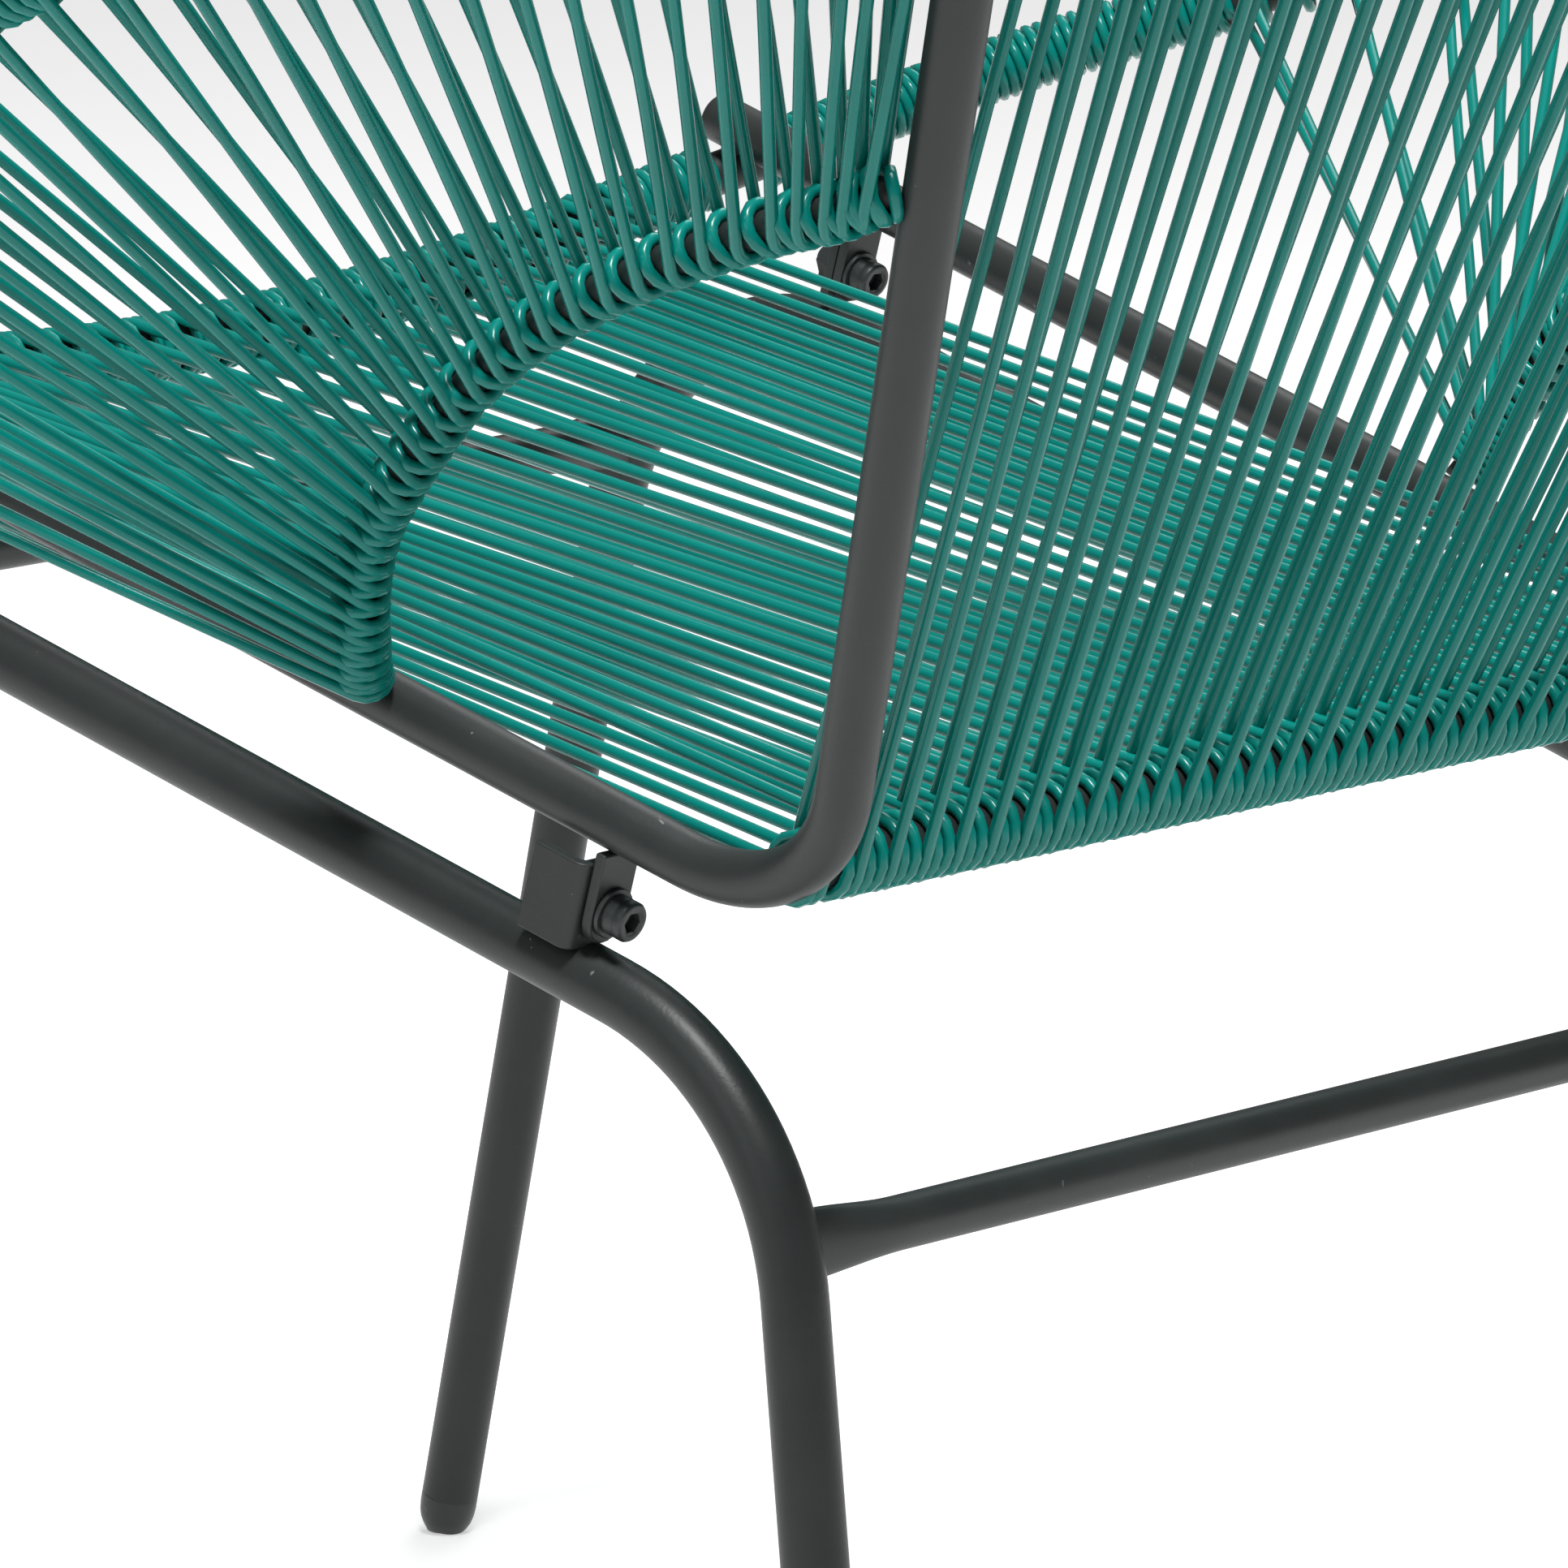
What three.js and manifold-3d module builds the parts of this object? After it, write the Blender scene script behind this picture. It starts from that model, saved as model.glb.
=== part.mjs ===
// Woven cord lounge chair: a round outer hoop, two bent side rods, a rear cross tube and two arc braces
// carry four wound cord panels; two bent leg frames with two stretchers are bolted on under the side rods.
// Millimetres. +Z is up, the sitter faces -Y, and +X is the sitter's left.
import * as THREE from 'three';
import { mergeVertices } from 'three/addons/utils/BufferGeometryUtils.js';
import Module from 'manifold-3d';

// Overall form.
const hoopHalfWidth = 370;        // hoop axis, widest point to the middle plane
const hoopDepth = 681;            // hoop axis, front middle to top middle, along Y
const hoopRise = 476;             // hoop axis, front middle to top middle, along Z
const hoopFrontHeight = 377;      // hoop axis at its front middle, above the floor
const hoopFrontOffset = 413.7;    // hoop axis front middle, forward of the seat corners
const seatCornerHeight = 307.1;    // side rod axis at the rear lower corner
const seatCornerHalf = 189.8;     // side rod axis at that corner, from the middle plane

// Tubes and rods.
const hoopRadius = 6;
const rodRadius = 6.7;            // side rods
const crossRodRadius = 6;         // rear cross tube of the seat
const arcRadius = 4;              // arc braces
const legRadius = 8;
const legBore = 6.5;              // inner radius of the leg tubes
const stretcherRadius = 6.45;
const crossSet = 0.7;             // rear cross tube axis past the corner bend, toward the seat
const weldGap = 0.3;              // clearance left at each welded or touching pair
const cutOverrun = 1;             // cutters past the faces that they open
const rodBend = 50;               // axis bend radius of the side rods
const legBend = 80;               // axis bend radius of the leg frames
const postOverrun = 9;            // side rod past the hoop axis at the top
const railOverrun = 7;            // side rod past the hoop axis at the front

// Leg frames.
const railDrop = 38.7;            // leg rail axis below the side rod axis
const kneeRearSet = 2.8;          // rear knee, forward of the seat corner along the side rod
const kneeSpan = 400;             // rear knee to front knee, along Y
const legFlare = 0.05;            // sideways spread per unit of leg height
const rearSplay = 0.148;          // backward spread per unit of leg height
const frontSplay = 0.266;         // forward spread per unit of leg height
const rearStretcherHeight = 232;
const frontStretcherDrop = 48;    // front stretcher axis below the hoop's front
const stretcherFlareShare = 1.35; // height growth of the flattened ends
const stretcherPinchShare = 0.62; // thickness left at the flattened ends
const flareLength = 34;

// Foot caps.
const capRise = 12;               // cap length under the tube end
const capPlug = 18;               // plug length inside the tube
const plugClearance = 0.3;
const capFlatRadius = 4.2;        // flat under the rounded end

// Brackets and bolts.
const bracketSetRear = 61.4;      // rear bracket, forward of the seat corner
const bracketFrontReturn = 64;    // front bracket, back from the knee span
const plateThickness = 3;
const tabWidth = 13;
const tabLength = 22.5;
const legPlateHeight = 21;
const flangeLength = 16;
const boltRadius = 3;
const boltHoleRadius = 3.3;
const boltDrop = 21.2;             // bolt axis below the side rod axis
const headRadius = 5;
const headHeight = 5.6;
const socketRadius = 2.6;
const socketDepth = 3;
const washerRadius = 6.2;
const washerThickness = 1.2;
const nutRadius = 5.6;
const nutHeight = 4.6;
const nutClearance = 0.5;         // nut corner to the long flange
const boltTail = 1.6;             // thread past the nut

// Cords.
const cordRadius = 1.55;
const cordGap = 0.35;             // cord to the tube that it wraps
const leastCordGap = 0.4;         // cord to itself
const backCords = 32;             // back panel, pairs of passes
const wingCords = 32;             // each wing panel
const crossPitch = 11.5;          // pitch of the cords on the rear cross tube
const seatShiftShare = 0.082;     // seat cords set over between the back cords, share of the pitch
const seatShiftTurns = 8;         // cords from the middle where that shift is full
const armStart = 17.5;            // first wing cord, along the arc brace
const armEnd = 17.3;              // last wing cord, before the arc's upper end

// Facets.
const hoopSteps = 96;
const bendSteps = 8;
const arcSteps = 18;
const wrapSteps = 4;
const roundSides = 12;
const rodSides = 10;
const hexSides = 6;
const cordSides = 4;

// Hoop axis on the sitter's left from the front middle to the top middle: shares of the half width,
// of the depth and of the rise.
const hoopShares = [
  [0, 0, 0], [0.27, 0.007, 0.015], [0.541, 0.034, 0.0595], [0.789, 0.095, 0.12], [0.946, 0.228, 0.187],
  [1, 0.382, 0.263], [0.986, 0.514, 0.345], [0.946, 0.69, 0.473], [0.859, 0.869, 0.658],
  [0.689, 0.94, 0.83], [0.459, 0.9765, 0.937], [0.238, 0.994, 0.985], [0, 1, 1],
];
const topShare = 0.5;             // the top middle of the hoop
const postShare = 0.3496;         // the side rod's top on the hoop, share of the loop from the front
const railShare = 0.0805;         // the side rod's front on the hoop, share from the front
const backTopShare = 0.12;        // outermost back cord, share of the loop either side of the top
const seatFrontShare = 0.0617;    // outermost seat cord, share of the loop either side of the front
const seatFanShare = 0.467;       // seat cords that fan wide, share of each half counted from the middle
const seatFanRunShare = 0.624;    // share of each half's run along the hoop that those cords take up
const wingFrontShare = 0.135;     // lowest wing cord, share of the loop from the front
const wingTopShare = 0.344;       // highest wing cord, share of the loop from the front

// Wing cords from the lowest to the highest: share of the cords, share of their run along the arc brace
// and share of their run along the hoop.
const wingShares = [
  [0, 0, 0], [0.129, 0.088, 0.215], [0.258, 0.176, 0.328], [0.387, 0.272, 0.431], [0.516, 0.4, 0.562],
  [0.645, 0.56, 0.668], [0.774, 0.74, 0.785], [0.871, 0.865, 0.878], [0.936, 0.94, 0.94], [1, 1, 1],
];

// Arc brace, measured from the seat corner: reach forward along the side rod, rise along the post, and
// how far the brace stands outside both. Each row holds shares of the three.
const armReach = 141;
const armRise = 222;
const armShares = [
  [0.993, 0.027, 0.58], [0.995, 0.079, 0.82], [0.998, 0.151, 1], [1, 0.21, 1], [0.987, 0.267, 1],
  [0.95, 0.335, 1], [0.898, 0.411, 1], [0.825, 0.505, 1], [0.712, 0.61, 1], [0.603, 0.689, 1],
  [0.478, 0.767, 1], [0.354, 0.835, 1], [0.238, 0.894, 1], [0.12, 0.945, 0.86], [0.07, 0.97, 0.59],
  [0.05, 0.976, 0.27],
];

const charcoal = 0x3e403f;
const blackPlastic = 0x2b2d2d;
const teal = 0x189484;
const cordRoughness = 0.3;

const wasm = await Module();
wasm.setup();

const V = (x, y, z) => new THREE.Vector3(x, y, z);
const group = new THREE.Group();
group.name = 'acapulco_chair';
const half = (a) => a / 2;

function material(color, roughness, metalness) {
  return new THREE.MeshStandardMaterial({ color, roughness, metalness });
}
function add(name, geometry, color = charcoal, roughness = 0.45, metalness = 0.5) {
  const mesh = new THREE.Mesh(geometry, material(color, roughness, metalness));
  mesh.name = name;
  group.add(mesh);
  return mesh;
}
function toManifold(geometry) {
  const g = geometry.clone();
  for (const key of Object.keys(g.attributes)) if (key !== 'position') g.deleteAttribute(key);
  const m = mergeVertices(g);
  return new wasm.Manifold(new wasm.Mesh({
    numProp: 3,
    vertProperties: Float32Array.from(m.attributes.position.array),
    triVerts: Uint32Array.from(m.index.array),
  }));
}
function fromManifold(solid) {
  const mesh = solid.getMesh();
  const g = new THREE.BufferGeometry();
  g.setAttribute('position', new THREE.BufferAttribute(Float32Array.from(mesh.vertProperties), 3));
  g.setIndex(new THREE.BufferAttribute(Uint32Array.from(mesh.triVerts), 1));
  return g;
}
const mirrorX = (v, side) => V(v.x * side, v.y, v.z);
const lerp = (a, b, t) => a.clone().lerp(b, t);

// A path through given points, stepped point by point.
class PointPath extends THREE.Curve {
  constructor(points) {
    super();
    this.points = points;
  }
  getPoint(t) {
    const n = this.points.length - 1;
    const i = Math.min(Math.floor(t * n + Number.EPSILON * n), n - 1);
    return lerp(this.points[i], this.points[i + 1], t * n - i);
  }
  getPointAt(t) {
    return this.getPoint(t);
  }
  getSpacedPoints() {
    return this.points.map((p) => p.clone());
  }
  getTangentAt(t) {
    const n = this.points.length - 1;
    const i = Math.round(t * n);
    const before = this.points[Math.max(i - 1, 0)];
    const here = this.points[i];
    const after = this.points[Math.min(i + 1, n)];
    const a = here.clone().sub(before).normalize();
    const b = after.clone().sub(here).normalize();
    return a.add(b).normalize();
  }
}
function circleShape(radius, sides) {
  const shape = new THREE.Shape();
  for (let i = 0; i < sides; i += 1) {
    const angle = (i / sides) * 2 * Math.PI;
    const x = radius * Math.cos(angle);
    const y = radius * Math.sin(angle);
    if (i === 0) shape.moveTo(x, y);
    else shape.lineTo(x, y);
  }
  shape.closePath();
  return shape;
}
function tube(points, radius, sides) {
  return new THREE.ExtrudeGeometry(circleShape(radius, sides), {
    steps: points.length - 1, curveSegments: 1, extrudePath: new PointPath(points),
  });
}
function fillet(a, corner, c, radius, steps = bendSteps) {
  const u = a.clone().sub(corner).normalize();
  const w = c.clone().sub(corner).normalize();
  const halfAngle = half(u.angleTo(w));
  const centre = corner.clone().addScaledVector(u.clone().add(w).normalize(), radius / Math.sin(halfAngle));
  const start = corner.clone().addScaledVector(u, radius / Math.tan(halfAngle));
  const end = corner.clone().addScaledVector(w, radius / Math.tan(halfAngle));
  const e0 = start.clone().sub(centre);
  const e1 = end.clone().sub(centre);
  const sweep = e0.angleTo(e1);
  const out = [];
  for (let i = 0; i <= steps; i += 1) {
    const t = i / steps;
    const p = e0.clone().multiplyScalar(Math.sin((1 - t) * sweep) / Math.sin(sweep));
    out.push(p.addScaledVector(e1, Math.sin(t * sweep) / Math.sin(sweep)).add(centre));
  }
  return out;
}
// A closed skin through rings of equal point counts, capped at both ends.
function skin(rings) {
  const sides = rings[0].length;
  const positions = [];
  for (const ring of rings) for (const p of ring) positions.push(p.x, p.y, p.z);
  const index = [];
  for (let r = 0; r + 1 < rings.length; r += 1) {
    for (let i = 0; i < sides; i += 1) {
      const a = r * sides + i;
      const b = r * sides + ((i + 1) % sides);
      index.push(a, b, a + sides, b, b + sides, a + sides);
    }
  }
  const last = (rings.length - 1) * sides;
  for (let i = 1; i + 1 < sides; i += 1) {
    index.push(0, i + 1, i);
    index.push(last, last + i, last + i + 1);
  }
  const g = new THREE.BufferGeometry();
  g.setAttribute('position', new THREE.BufferAttribute(Float32Array.from(positions), 3));
  g.setIndex(index);
  return g;
}

// Outer hoop.
const seatCornerY = hoopFrontOffset;   // measured from the hoop's front middle at y = 0
const leftHalf = hoopShares.map(([x, y, z]) => V(
  x * hoopHalfWidth, y * hoopDepth, hoopFrontHeight + z * hoopRise,
));
const hoopLoop = leftHalf.concat(leftHalf.slice(1, -1).reverse().map((p) => mirrorX(p, -1)));
const hoopCurve = new THREE.CatmullRomCurve3(hoopLoop, true, 'centripetal');
hoopCurve.arcLengthDivisions = hoopSteps * hoopSteps;
const hoopLength = hoopCurve.getLength();
const wrapShare = (s) => ((s % 1) + 1) % 1;
// Share 0 is the front middle and share 0.5 the top middle; the sitter's left comes first.
const hoopPoint = (s) => hoopCurve.getPointAt(wrapShare(s));
const hoopTangent = (s) => hoopCurve.getTangentAt(wrapShare(s)).normalize();
const seamShare = half(weldGap) / hoopLength;
const hoopPoints = [];
for (let i = 0; i <= hoopSteps; i += 1) {
  hoopPoints.push(hoopPoint(topShare + seamShare + (i / hoopSteps) * (1 - 2 * seamShare)));
}
add('outer_hoop', tube(hoopPoints, hoopRadius, rodSides));

// Side rods: front end on the hoop, rear lower corner, post up to the hoop's back.
const corner = V(seatCornerHalf, seatCornerY, seatCornerHeight);
const contact = hoopRadius + rodRadius + weldGap;
function restPoint(share, outward) {
  const p = hoopPoint(share);
  const along = p.clone().sub(corner).normalize();
  const normal = hoopTangent(share).cross(along).normalize();
  if (normal.dot(outward) < 0) normal.negate();
  return p.addScaledVector(normal, contact);
}
const railRest = restPoint(railShare, V(0, 0, 1));
const postRest = restPoint(postShare, V(0, 1, 0));
const railDir = railRest.clone().sub(corner).normalize();
const postDir = postRest.clone().sub(corner).normalize();
const railEnd = railRest.clone().addScaledVector(railDir, railOverrun);
const postEnd = postRest.clone().addScaledVector(postDir, postOverrun);
const rodPath = [railEnd, ...fillet(railEnd, corner, postEnd, rodBend), postEnd];
const cornerBend = rodPath[1 + half(bendSteps)];
const planeNormal = railDir.clone().cross(postDir).normalize();
if (planeNormal.x < 0) planeNormal.negate();
const sideName = (side) => (side > 0 ? 'left' : 'right');
const sides = [1, -1];
for (const side of sides) {
  add(`side_rod_${sideName(side)}`, tube(rodPath.map((p) => mirrorX(p, side)), rodRadius, roundSides));
}

// Rear cross tube of the seat, butted between the corner bends.
const bisector = railDir.clone().add(postDir).normalize();
const crossCentre = cornerBend.clone().addScaledVector(bisector, crossSet);
const crossPoint = (x) => V(x, crossCentre.y, crossCentre.z);
// Each end is coped to the tube that it meets, with the weld gap left between them.
function coped(solid, path, radius) {
  let out = solid;
  for (const side of sides) {
    out = out.subtract(toManifold(tube(path.map((p) => mirrorX(p, side)), radius + weldGap, roundSides)));
  }
  return fromManifold(out);
}
const crossAxis = [crossPoint(-crossCentre.x), crossPoint(crossCentre.x)];
const crossSolid = toManifold(tube(crossAxis, crossRodRadius, roundSides));
add('seat_cross_tube_rear', coped(crossSolid, rodPath, rodRadius));

// Arc braces, outside the side rods.
const armOffset = rodRadius + arcRadius + weldGap;
const armControl = armShares.map(([reach, rise, stand]) => corner.clone()
  .addScaledVector(railDir, reach * armReach)
  .addScaledVector(postDir, rise * armRise)
  .addScaledVector(planeNormal, stand * armOffset));
const armCurve = new THREE.CatmullRomCurve3(armControl, false, 'centripetal');
armCurve.arcLengthDivisions = hoopSteps * bendSteps;
const armLength = armCurve.getLength();
const armPath = armCurve.getSpacedPoints(arcSteps);
for (const side of sides) {
  const brace = toManifold(tube(armPath.map((p) => mirrorX(p, side)), arcRadius, rodSides));
  add(`arc_brace_${sideName(side)}`, coped(brace, rodPath, rodRadius));
}

// Leg frames.
const railNormal = V(0, -railDir.z, railDir.y).normalize();
if (railNormal.z < 0) railNormal.negate();
const railPoint = (set) => corner.clone().addScaledVector(railDir, set / Math.abs(railDir.y));
const legRailPoint = (set) => railPoint(set).addScaledVector(railNormal, -railDrop);
const kneeRear = legRailPoint(kneeRearSet);
const kneeFront = legRailPoint(kneeRearSet + kneeSpan);
const endHeight = capRise;
const rearLegDir = V(legFlare, rearSplay, -1);
const frontLegDir = V(legFlare, -frontSplay, -1);
const legEnd = (knee, dir) => knee.clone().addScaledVector(dir, knee.z - endHeight);
const rearEnd = legEnd(kneeRear, rearLegDir);
const frontEnd = legEnd(kneeFront, frontLegDir);
const rearBend = fillet(rearEnd, kneeRear, kneeFront, legBend);
const frontBend = fillet(kneeRear, kneeFront, frontEnd, legBend);
const legPath = [rearEnd, ...rearBend, ...frontBend, frontEnd];
const past = (end, dir) => end.clone().addScaledVector(dir.clone().normalize(), cutOverrun);
const borePath = [past(rearEnd, rearLegDir), ...rearBend, ...frontBend, past(frontEnd, frontLegDir)];
for (const side of sides) {
  const put = (points) => points.map((p) => mirrorX(p, side));
  const outside = toManifold(tube(put(legPath), legRadius, roundSides));
  const inside = toManifold(tube(put(borePath), legBore, roundSides));
  add(`leg_frame_${sideName(side)}`, fromManifold(outside.subtract(inside)));
}

// Foot caps: plug, shoulder and rounded end with a level flat.
function ring(centre, u, w, ru, rw, count) {
  const out = [];
  for (let i = 0; i < count; i += 1) {
    const angle = (i / count) * 2 * Math.PI;
    const p = centre.clone().addScaledVector(u, ru * Math.cos(angle));
    out.push(p.addScaledVector(w, rw * Math.sin(angle)));
  }
  return out;
}
function footCap(end, dir) {
  const down = dir.clone().normalize();
  const u = V(1, 0, 0).addScaledVector(down, -down.x).normalize();
  const w = down.clone().cross(u);
  const plugRadius = legBore - plugClearance;
  const seat = end.clone().addScaledVector(down, weldGap);
  const floorPoint = end.clone().addScaledVector(dir, endHeight);
  const shoulder = (t) => lerp(seat, floorPoint, t);
  const shoulderShares = [[0, 1], [0.3, 1], [0.65, 0.9], [0.85, 0.66]];
  const rings = [
    ring(end.clone().addScaledVector(down, -capPlug), u, w, plugRadius, plugRadius, roundSides),
    ring(seat, u, w, plugRadius, plugRadius, roundSides),
  ];
  for (const [t, r] of shoulderShares) {
    rings.push(ring(shoulder(t), u, w, legRadius * r, legRadius * r, roundSides));
  }
  const flatU = V(1, 0, 0);
  const flatW = V(0, -1, 0);
  rings.push(ring(V(floorPoint.x, floorPoint.y, 0), flatU, flatW, capFlatRadius, capFlatRadius, roundSides));
  return skin(rings);
}
const corners = [['rear', rearEnd, rearLegDir], ['front', frontEnd, frontLegDir]];
for (const side of sides) {
  for (const [where, end, dir] of corners) {
    const cap = footCap(mirrorX(end, side), mirrorX(dir, side));
    add(`foot_cap_${where}_${sideName(side)}`, fromManifold(toManifold(cap)), blackPlastic, 0.6, 0);
  }
}

// Stretchers between the leg frames, ends flattened and flared.
function legAxisAt(points, height) {
  for (let i = 0; i + 1 < points.length; i += 1) {
    const a = points[i];
    const b = points[i + 1];
    if ((a.z - height) * (b.z - height) <= 0) return lerp(a, b, (height - a.z) / (b.z - a.z));
  }
  return points[0];
}
function stretcher(at) {
  const reach = at.x - half(legRadius);
  const flareShares = [[1, 1], [0.72, 0.75], [0.4, 0.3], [0, 0]];
  const stations = flareShares.map(([s, f]) => [reach - (1 - s) * flareLength, f]);
  const all = stations.concat(stations.slice().reverse().map(([x, f]) => [-x, f]));
  return skin(all.map(([x, f]) => {
    const tall = stretcherRadius * (1 + (stretcherFlareShare - 1) * f);
    const thin = stretcherRadius * (1 - (1 - stretcherPinchShare) * f);
    return ring(V(x, at.y, at.z), V(0, -1, 0), V(0, 0, 1), thin, tall, roundSides);
  }));
}
const rearHalf = [rearEnd, ...rearBend];
const frontHalf = [...frontBend, frontEnd];
function addStretcher(name, at) {
  add(name, coped(toManifold(stretcher(at)), legPath, legRadius));
}
addStretcher('stretcher_rear', legAxisAt(rearHalf, rearStretcherHeight));
addStretcher('stretcher_front', legAxisAt(frontHalf, hoopFrontHeight - frontStretcherDrop));

// Brackets and bolts at four places.
// Local frame at each place: u forward along the rail, w away from the leg rail, s outward.
function placed(geometry, origin, side) {
  const u = V(railDir.x * side, railDir.y, railDir.z);
  const w = V(0, railNormal.y, railNormal.z).addScaledVector(u, -railNormal.dot(u)).normalize();
  const s = u.clone().cross(w).multiplyScalar(-side);
  const basis = new THREE.Matrix4().makeBasis(s, u, w);
  basis.setPosition(origin);
  const g = geometry.clone().applyMatrix4(basis);
  if (basis.determinant() < 0) {
    const flat = g.index ? g.toNonIndexed() : g;
    const p = flat.attributes.position;
    for (let i = 0; i < p.count; i += 3) {
      const a = V(p.getX(i), p.getY(i), p.getZ(i));
      p.setXYZ(i, p.getX(i + 1), p.getY(i + 1), p.getZ(i + 1));
      p.setXYZ(i + 1, a.x, a.y, a.z);
    }
    return flat;
  }
  return g;
}
function prism(shape, depth) {
  return new THREE.ExtrudeGeometry(shape, { depth, bevelEnabled: false, curveSegments: 1 });
}
function plate(width, top, bottom, depth, holeDrop) {
  const shape = new THREE.Shape();
  const w = half(width);
  const round = w;
  shape.moveTo(-w, top);
  shape.lineTo(-w, bottom + round);
  const arcStepCount = bendSteps - 2;
  for (let i = 1; i <= arcStepCount; i += 1) {
    const angle = Math.PI + (i / arcStepCount) * Math.PI;
    shape.lineTo(round * Math.cos(angle), bottom + round + round * Math.sin(angle));
  }
  shape.lineTo(w, top);
  shape.closePath();
  shape.holes.push(new THREE.Path(circleShape(boltHoleRadius, rodSides).getPoints()
    .map((p) => new THREE.Vector2(p.x, p.y - holeDrop)).reverse()));
  return prism(shape, depth);
}
const tabTop = -(rodRadius + weldGap);
const tabBottom = tabTop - tabLength;
const legPlateBottom = -(railDrop - legRadius - weldGap);
const legPlateTop = legPlateBottom + legPlateHeight;
const toUpright = new THREE.Matrix4().makeRotationX(half(Math.PI));
// After this turn the plate stands across the rail with its thickness toward -u.
function uprightPlate(width, top, bottom, depth) {
  return plate(width, top, bottom, depth, boltDrop).applyMatrix4(toUpright);
}
function disc(radius, depth, count, holeRadius) {
  const shape = circleShape(radius, count);
  if (holeRadius) shape.holes.push(new THREE.Path(circleShape(holeRadius, rodSides).getPoints().reverse()));
  return prism(shape, depth).applyMatrix4(toUpright);
}
const shift = (g, s, u, w) => g.translate(s, u, w);
function legBracket() {
  // An L in plan: one flange across the rail, one along it on the outer side.
  const w = half(tabWidth);
  const shape = new THREE.Shape();
  const inner = nutRadius + nutClearance;
  shape.moveTo(-w, 0);
  shape.lineTo(inner + plateThickness, 0);
  shape.lineTo(inner + plateThickness, flangeLength);
  shape.lineTo(inner, flangeLength);
  shape.lineTo(inner, plateThickness);
  shape.lineTo(-w, plateThickness);
  shape.closePath();
  const g = prism(shape, legPlateHeight);
  g.translate(0, half(weldGap), legPlateBottom);
  const drill = shift(disc(boltHoleRadius, plateThickness + 2 * cutOverrun, rodSides), 0,
    plateThickness + cutOverrun + half(weldGap), -boltDrop);
  return fromManifold(toManifold(g).subtract(toManifold(drill)));
}
function bolt() {
  // Head behind the washer, shank through the tab and the bracket, tail past the nut.
  const headBack = -(half(weldGap) + plateThickness + weldGap + washerThickness + weldGap);
  const tail = half(weldGap) + plateThickness + weldGap + nutHeight + boltTail;
  const head = shift(disc(headRadius, headHeight, roundSides), 0, headBack, -boltDrop);
  const shank = shift(disc(boltRadius, tail - headBack + cutOverrun, rodSides), 0, tail, -boltDrop);
  const socket = shift(disc(socketRadius, socketDepth + cutOverrun, hexSides), 0,
    headBack - headHeight + socketDepth, -boltDrop);
  return fromManifold(toManifold(head).add(toManifold(shank)).subtract(toManifold(socket)));
}
const bracketSets = [['rear', bracketSetRear], ['front', kneeSpan - bracketFrontReturn]];
for (const side of sides) {
  for (const [where, set] of bracketSets) {
    const origin = mirrorX(railPoint(set), side);
    const tag = `${where}_${sideName(side)}`;
    const put = (g) => fromManifold(toManifold(placed(g, origin, side)));
    const tab = shift(uprightPlate(tabWidth, tabTop, tabBottom, plateThickness), 0, -half(weldGap), 0);
    add(`seat_tab_${tag}`, put(tab));
    add(`leg_bracket_${tag}`, put(legBracket()));
    const washerBack = -(half(weldGap) + plateThickness + weldGap);
    const washer = disc(washerRadius, washerThickness, roundSides, boltHoleRadius);
    add(`washer_${tag}`, put(shift(washer, 0, washerBack, -boltDrop)), charcoal, 0.4, 0.7);
    add(`bolt_${tag}`, put(bolt()), charcoal, 0.4, 0.7);
    const nutFront = half(weldGap) + plateThickness + weldGap + nutHeight;
    const nut = shift(disc(nutRadius, nutHeight, hexSides, boltHoleRadius), 0, nutFront, -boltDrop);
    add(`nut_${tag}`, put(nut), charcoal, 0.4, 0.7);
  }
}

// Cord panels: one unbroken cord each, outer pass, wrap, inner pass, wrap.
// near(i) and far(s) give a centre, a tube tangent and a wrap radius; outward picks the outer side.
function cordPath(near, far, count, outward) {
  const path = [];
  const frameOf = (place, other, sign) => {
    const dir = other.centre.clone().sub(place.centre).normalize();
    const n = place.tangent.clone().cross(dir).normalize();
    if (n.dot(outward(place)) < 0) n.negate();
    const b = n.clone().cross(place.tangent).normalize();
    if (b.dot(dir) > 0) b.negate();
    return { n, b, c: place.centre, r: place.radius * sign };
  };
  const at = (f, angle) => f.c.clone()
    .addScaledVector(f.n, Math.abs(f.r) * Math.cos(angle))
    .addScaledVector(f.b, Math.abs(f.r) * Math.sin(angle));
  for (let i = 0; i < count; i += 1) {
    const fn = frameOf(near(i), far(i), 1);
    path.push(at(frameOf(far(i), near(i), 1), Math.PI));
    for (let k = wrapSteps; k >= 0; k -= 1) path.push(at(fn, (k / wrapSteps) * Math.PI));
    const last = i === count - 1;
    // the cord's end stops half way round, clear of the wrap that comes in
    const steps = last ? half(wrapSteps) + 1 : wrapSteps;
    for (let k = 0; k < steps; k += 1) {
      const s = last ? i : i + k / wrapSteps;
      const f = frameOf(far(s), near(Math.min(s, count - 1)), 1);
      path.push(at(f, (k / wrapSteps) * Math.PI));
    }
  }
  return path;
}
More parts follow.
